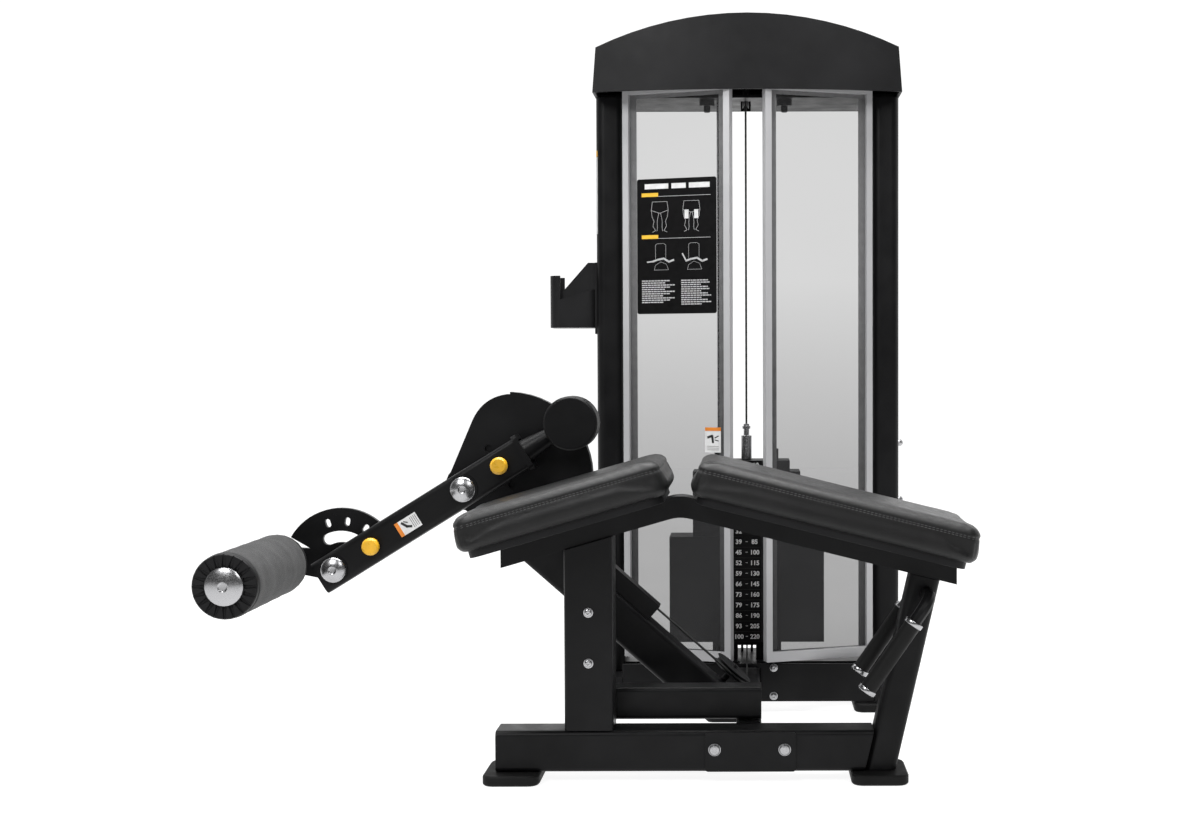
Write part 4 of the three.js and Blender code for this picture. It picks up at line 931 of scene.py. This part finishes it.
def add_text(bm, text, place, size):
    """Adds flat raised figures, centred on `place` (a 4x4 whose Z points out of the face)."""
    curve = bpy.data.curves.new("figures", "FONT")
    curve.body = text
    curve.size = size
    curve.align_x = "CENTER"
    curve.align_y = "CENTER"
    curve.extrude = 0.12 * MM
    curve.offset = FIGURE_WEIGHT
    curve.resolution_u = 3
    holder = bpy.data.objects.new("figures", curve)
    bpy.context.scene.collection.objects.link(holder)
    mesh = bpy.data.meshes.new_from_object(holder.evaluated_get(bpy.context.evaluated_depsgraph_get()))
    mesh.transform(place)
    bm.from_mesh(mesh)
    bpy.data.objects.remove(holder)
    bpy.data.curves.remove(curve)
    bpy.data.meshes.remove(mesh)


def label_row(flat, strips, figures, kilos, pounds, height):
    """Black label with the two weights of one plate, round the flat's origin."""
    flat.bar(strips, -LABEL_HALF, LABEL_HALF, -height / 2, height / 2, 0.05 * MM, 0.3 * MM)
    for value, side in ((kilos, -1), (pounds, 1)):
        place = Matrix.Translation(flat.at(side * 19 * MM, 0, 0.45 * MM)) @ flat.turn.to_4x4()
        add_text(figures, str(value), place, FIGURE_SIZE)
    flat.bar(figures, -2.6 * MM, 2.6 * MM, 0.4 * MM, 1.4 * MM, 0.35 * MM, 0.15 * MM)


def build_stack_labels():
    low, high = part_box("wide_plates")
    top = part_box("narrow_plates")[1].z
    middle = (low.x + high.x) / 2
    count = len(KILOS) - 1
    pitch = (top - low.z) / count
    strips, figures = bmesh.new(), bmesh.new()
    for i in range(count):
        centre = (middle, low.y, low.z + (i + 0.5) * pitch)
        flat = box_flat(centre, (1, 0, 0), (0, 0, 1))
        label_row(flat, strips, figures, KILOS[count - i], POUNDS[count - i], pitch - 2 * MM)
    printed("plate_labels", strips, MATERIALS["placard_black"])
    printed("plate_figures", figures, WHITE_INK)
    strips, figures = bmesh.new(), bmesh.new()
    pin = centre_of("selector_pin")
    flat = box_flat((middle, low.y, pin.z), (1, 0, 0), (0, 0, 1))
    flat.bar(strips, -LABEL_HALF, -7 * MM, -HEAD_LABEL_HALF, HEAD_LABEL_HALF, 0.05 * MM, 0.3 * MM)
    flat.bar(strips, 7 * MM, LABEL_HALF, -HEAD_LABEL_HALF, HEAD_LABEL_HALF, 0.05 * MM, 0.3 * MM)
    for value, side in ((KILOS[0], -1), (POUNDS[0], 1)):
        place = Matrix.Translation(flat.at(side * 22 * MM, 0, 0.45 * MM)) @ flat.turn.to_4x4()
        add_text(figures, str(value), place, FIGURE_SIZE)
    printed("head_label", strips, MATERIALS["placard_black"], "carriage")
    printed("head_figures", figures, WHITE_INK, "carriage")


build_stack_labels()


# ------------------------------------------------------------------ panel edge strips: gasket strips down the sides, a painted shadow strip along the top
def build_gaskets():
    for word, inner in (("left", 1), ("right", -1)):
        flat = Flat(f"frosted_panel_{word}")
        bm = bmesh.new()
        back = -(4.0 + 1.2) * MM
        side_strip = 15 * MM
        flat.bar(bm, 0, side_strip, 0, flat.height, back, 1.0 * MM)
        flat.bar(bm, flat.width - side_strip, flat.width, 0, flat.height, back, 1.0 * MM)
        # Painted shadow: the grey strip along the top of each panel stands for the cap's shadow falling on
        # the panel.
        flat.bar(bm, side_strip, flat.width - side_strip, flat.height - 9 * MM, flat.height, back, 1.0 * MM)
        printed(f"panel_strip_{word}", bm, STRIP)


build_gaskets()


# ------------------------------------------------------------------ stage, light and camera
FLOOR_HALF = 9
FLOOR_DROP = 0.5 * MM
FLOOR_GLOW = 0.9


def build_stage():
    """Plain white floor."""
    bm = bmesh.new()
    bmesh.ops.create_grid(bm, x_segments=1, y_segments=1, size=FLOOR_HALF)
    look = Look("studio_floor", (0.25, 0.25, 0.25), 0.8)
    look.vary_color(look.noise(2, 3), (0.24, 0.24, 0.24), (0.27, 0.27, 0.27))
    look.set(Emission_Color=(1, 1, 1, 1), Emission_Strength=FLOOR_GLOW, Specular_IOR_Level=0.1)
    floor = mesh_object("studio_floor", bm, look.material, smooth=False)
    floor.location.z = -FLOOR_DROP


WORLD_GLOW = (("From Min", -0.35), ("From Max", 0.45), ("To Min", 0.07), ("To Max", 1.08))


def build_world():
    """White studio behind and above the machine, dark in front of it."""
    world = bpy.data.worlds.new("studio")
    bpy.context.scene.world = world
    world.use_nodes = True
    tree = world.node_tree
    tree.nodes.clear()
    output = tree.nodes.new("ShaderNodeOutputWorld")
    background = tree.nodes.new("ShaderNodeBackground")
    coords = tree.nodes.new("ShaderNodeTexCoord")
    split = tree.nodes.new("ShaderNodeSeparateXYZ")
    span = tree.nodes.new("ShaderNodeMapRange")
    span.interpolation_type = "SMOOTHSTEP"
    for name, value in WORLD_GLOW:
        span.inputs[name].default_value = value
    background.inputs["Color"].default_value = (1, 1, 1, 1)
    tree.links.new(coords.outputs["Generated"], split.inputs["Vector"])
    tree.links.new(split.outputs["Y"], span.inputs["Value"])
    tree.links.new(span.outputs["Result"], background.inputs["Strength"])
    tree.links.new(background.outputs["Background"], output.inputs["Surface"])


def area_light(name, location, target, size, power, size_y=None):
    light = bpy.data.lights.new(name, "AREA")
    light.energy = power
    light.shape = "RECTANGLE"
    light.size = size
    light.size_y = size_y or size
    obj = bpy.data.objects.new(name, light)
    bpy.context.scene.collection.objects.link(obj)
    obj.location = location
    direction = Vector(target) - Vector(location)
    obj.rotation_euler = direction.to_track_quat("-Z", "Y").to_euler()
    return obj


def build_lights():
    area_light("top_softbox", (0, 0.1, 3.4), (0, 0, 0.4), 3.2, 210, 2.2)
    area_light("front_key", (-1.6, -3.4, 3.3), (0, 0, 0.8), 1.6, 98)
    area_light("front_fill", (1.8, -3.4, 3.1), (0, 0, 0.8), 1.4, 40)


CAMERA_PLACE = (0.2941, -3.46485, 0.803)
CAMERA_TILT = math.atan2(43, 1600)
CAMERA_ROLL = 0.0025
CAMERA_LENS = 48.9
CAMERA_SHIFT = -0.135


def build_camera():
    camera = bpy.data.cameras.new("camera")
    camera.sensor_width = 36
    camera.lens = CAMERA_LENS
    camera.shift_x = CAMERA_SHIFT
    obj = bpy.data.objects.new("camera", camera)
    bpy.context.scene.collection.objects.link(obj)
    forward = Vector((0, math.cos(CAMERA_TILT), -math.sin(CAMERA_TILT)))
    level = Vector((1, 0, 0)).cross(forward)
    right = Vector((1, 0, 0)) * math.cos(CAMERA_ROLL) - level * math.sin(CAMERA_ROLL)
    up = Vector((1, 0, 0)) * math.sin(CAMERA_ROLL) + level * math.cos(CAMERA_ROLL)
    turn = Matrix((right, up, -forward)).transposed()
    obj.matrix_world = Matrix.Translation(CAMERA_PLACE) @ turn.to_4x4()
    bpy.context.scene.camera = obj


build_stage()
build_world()
build_lights()
build_camera()
bpy.context.scene.view_settings.view_transform = "Standard"
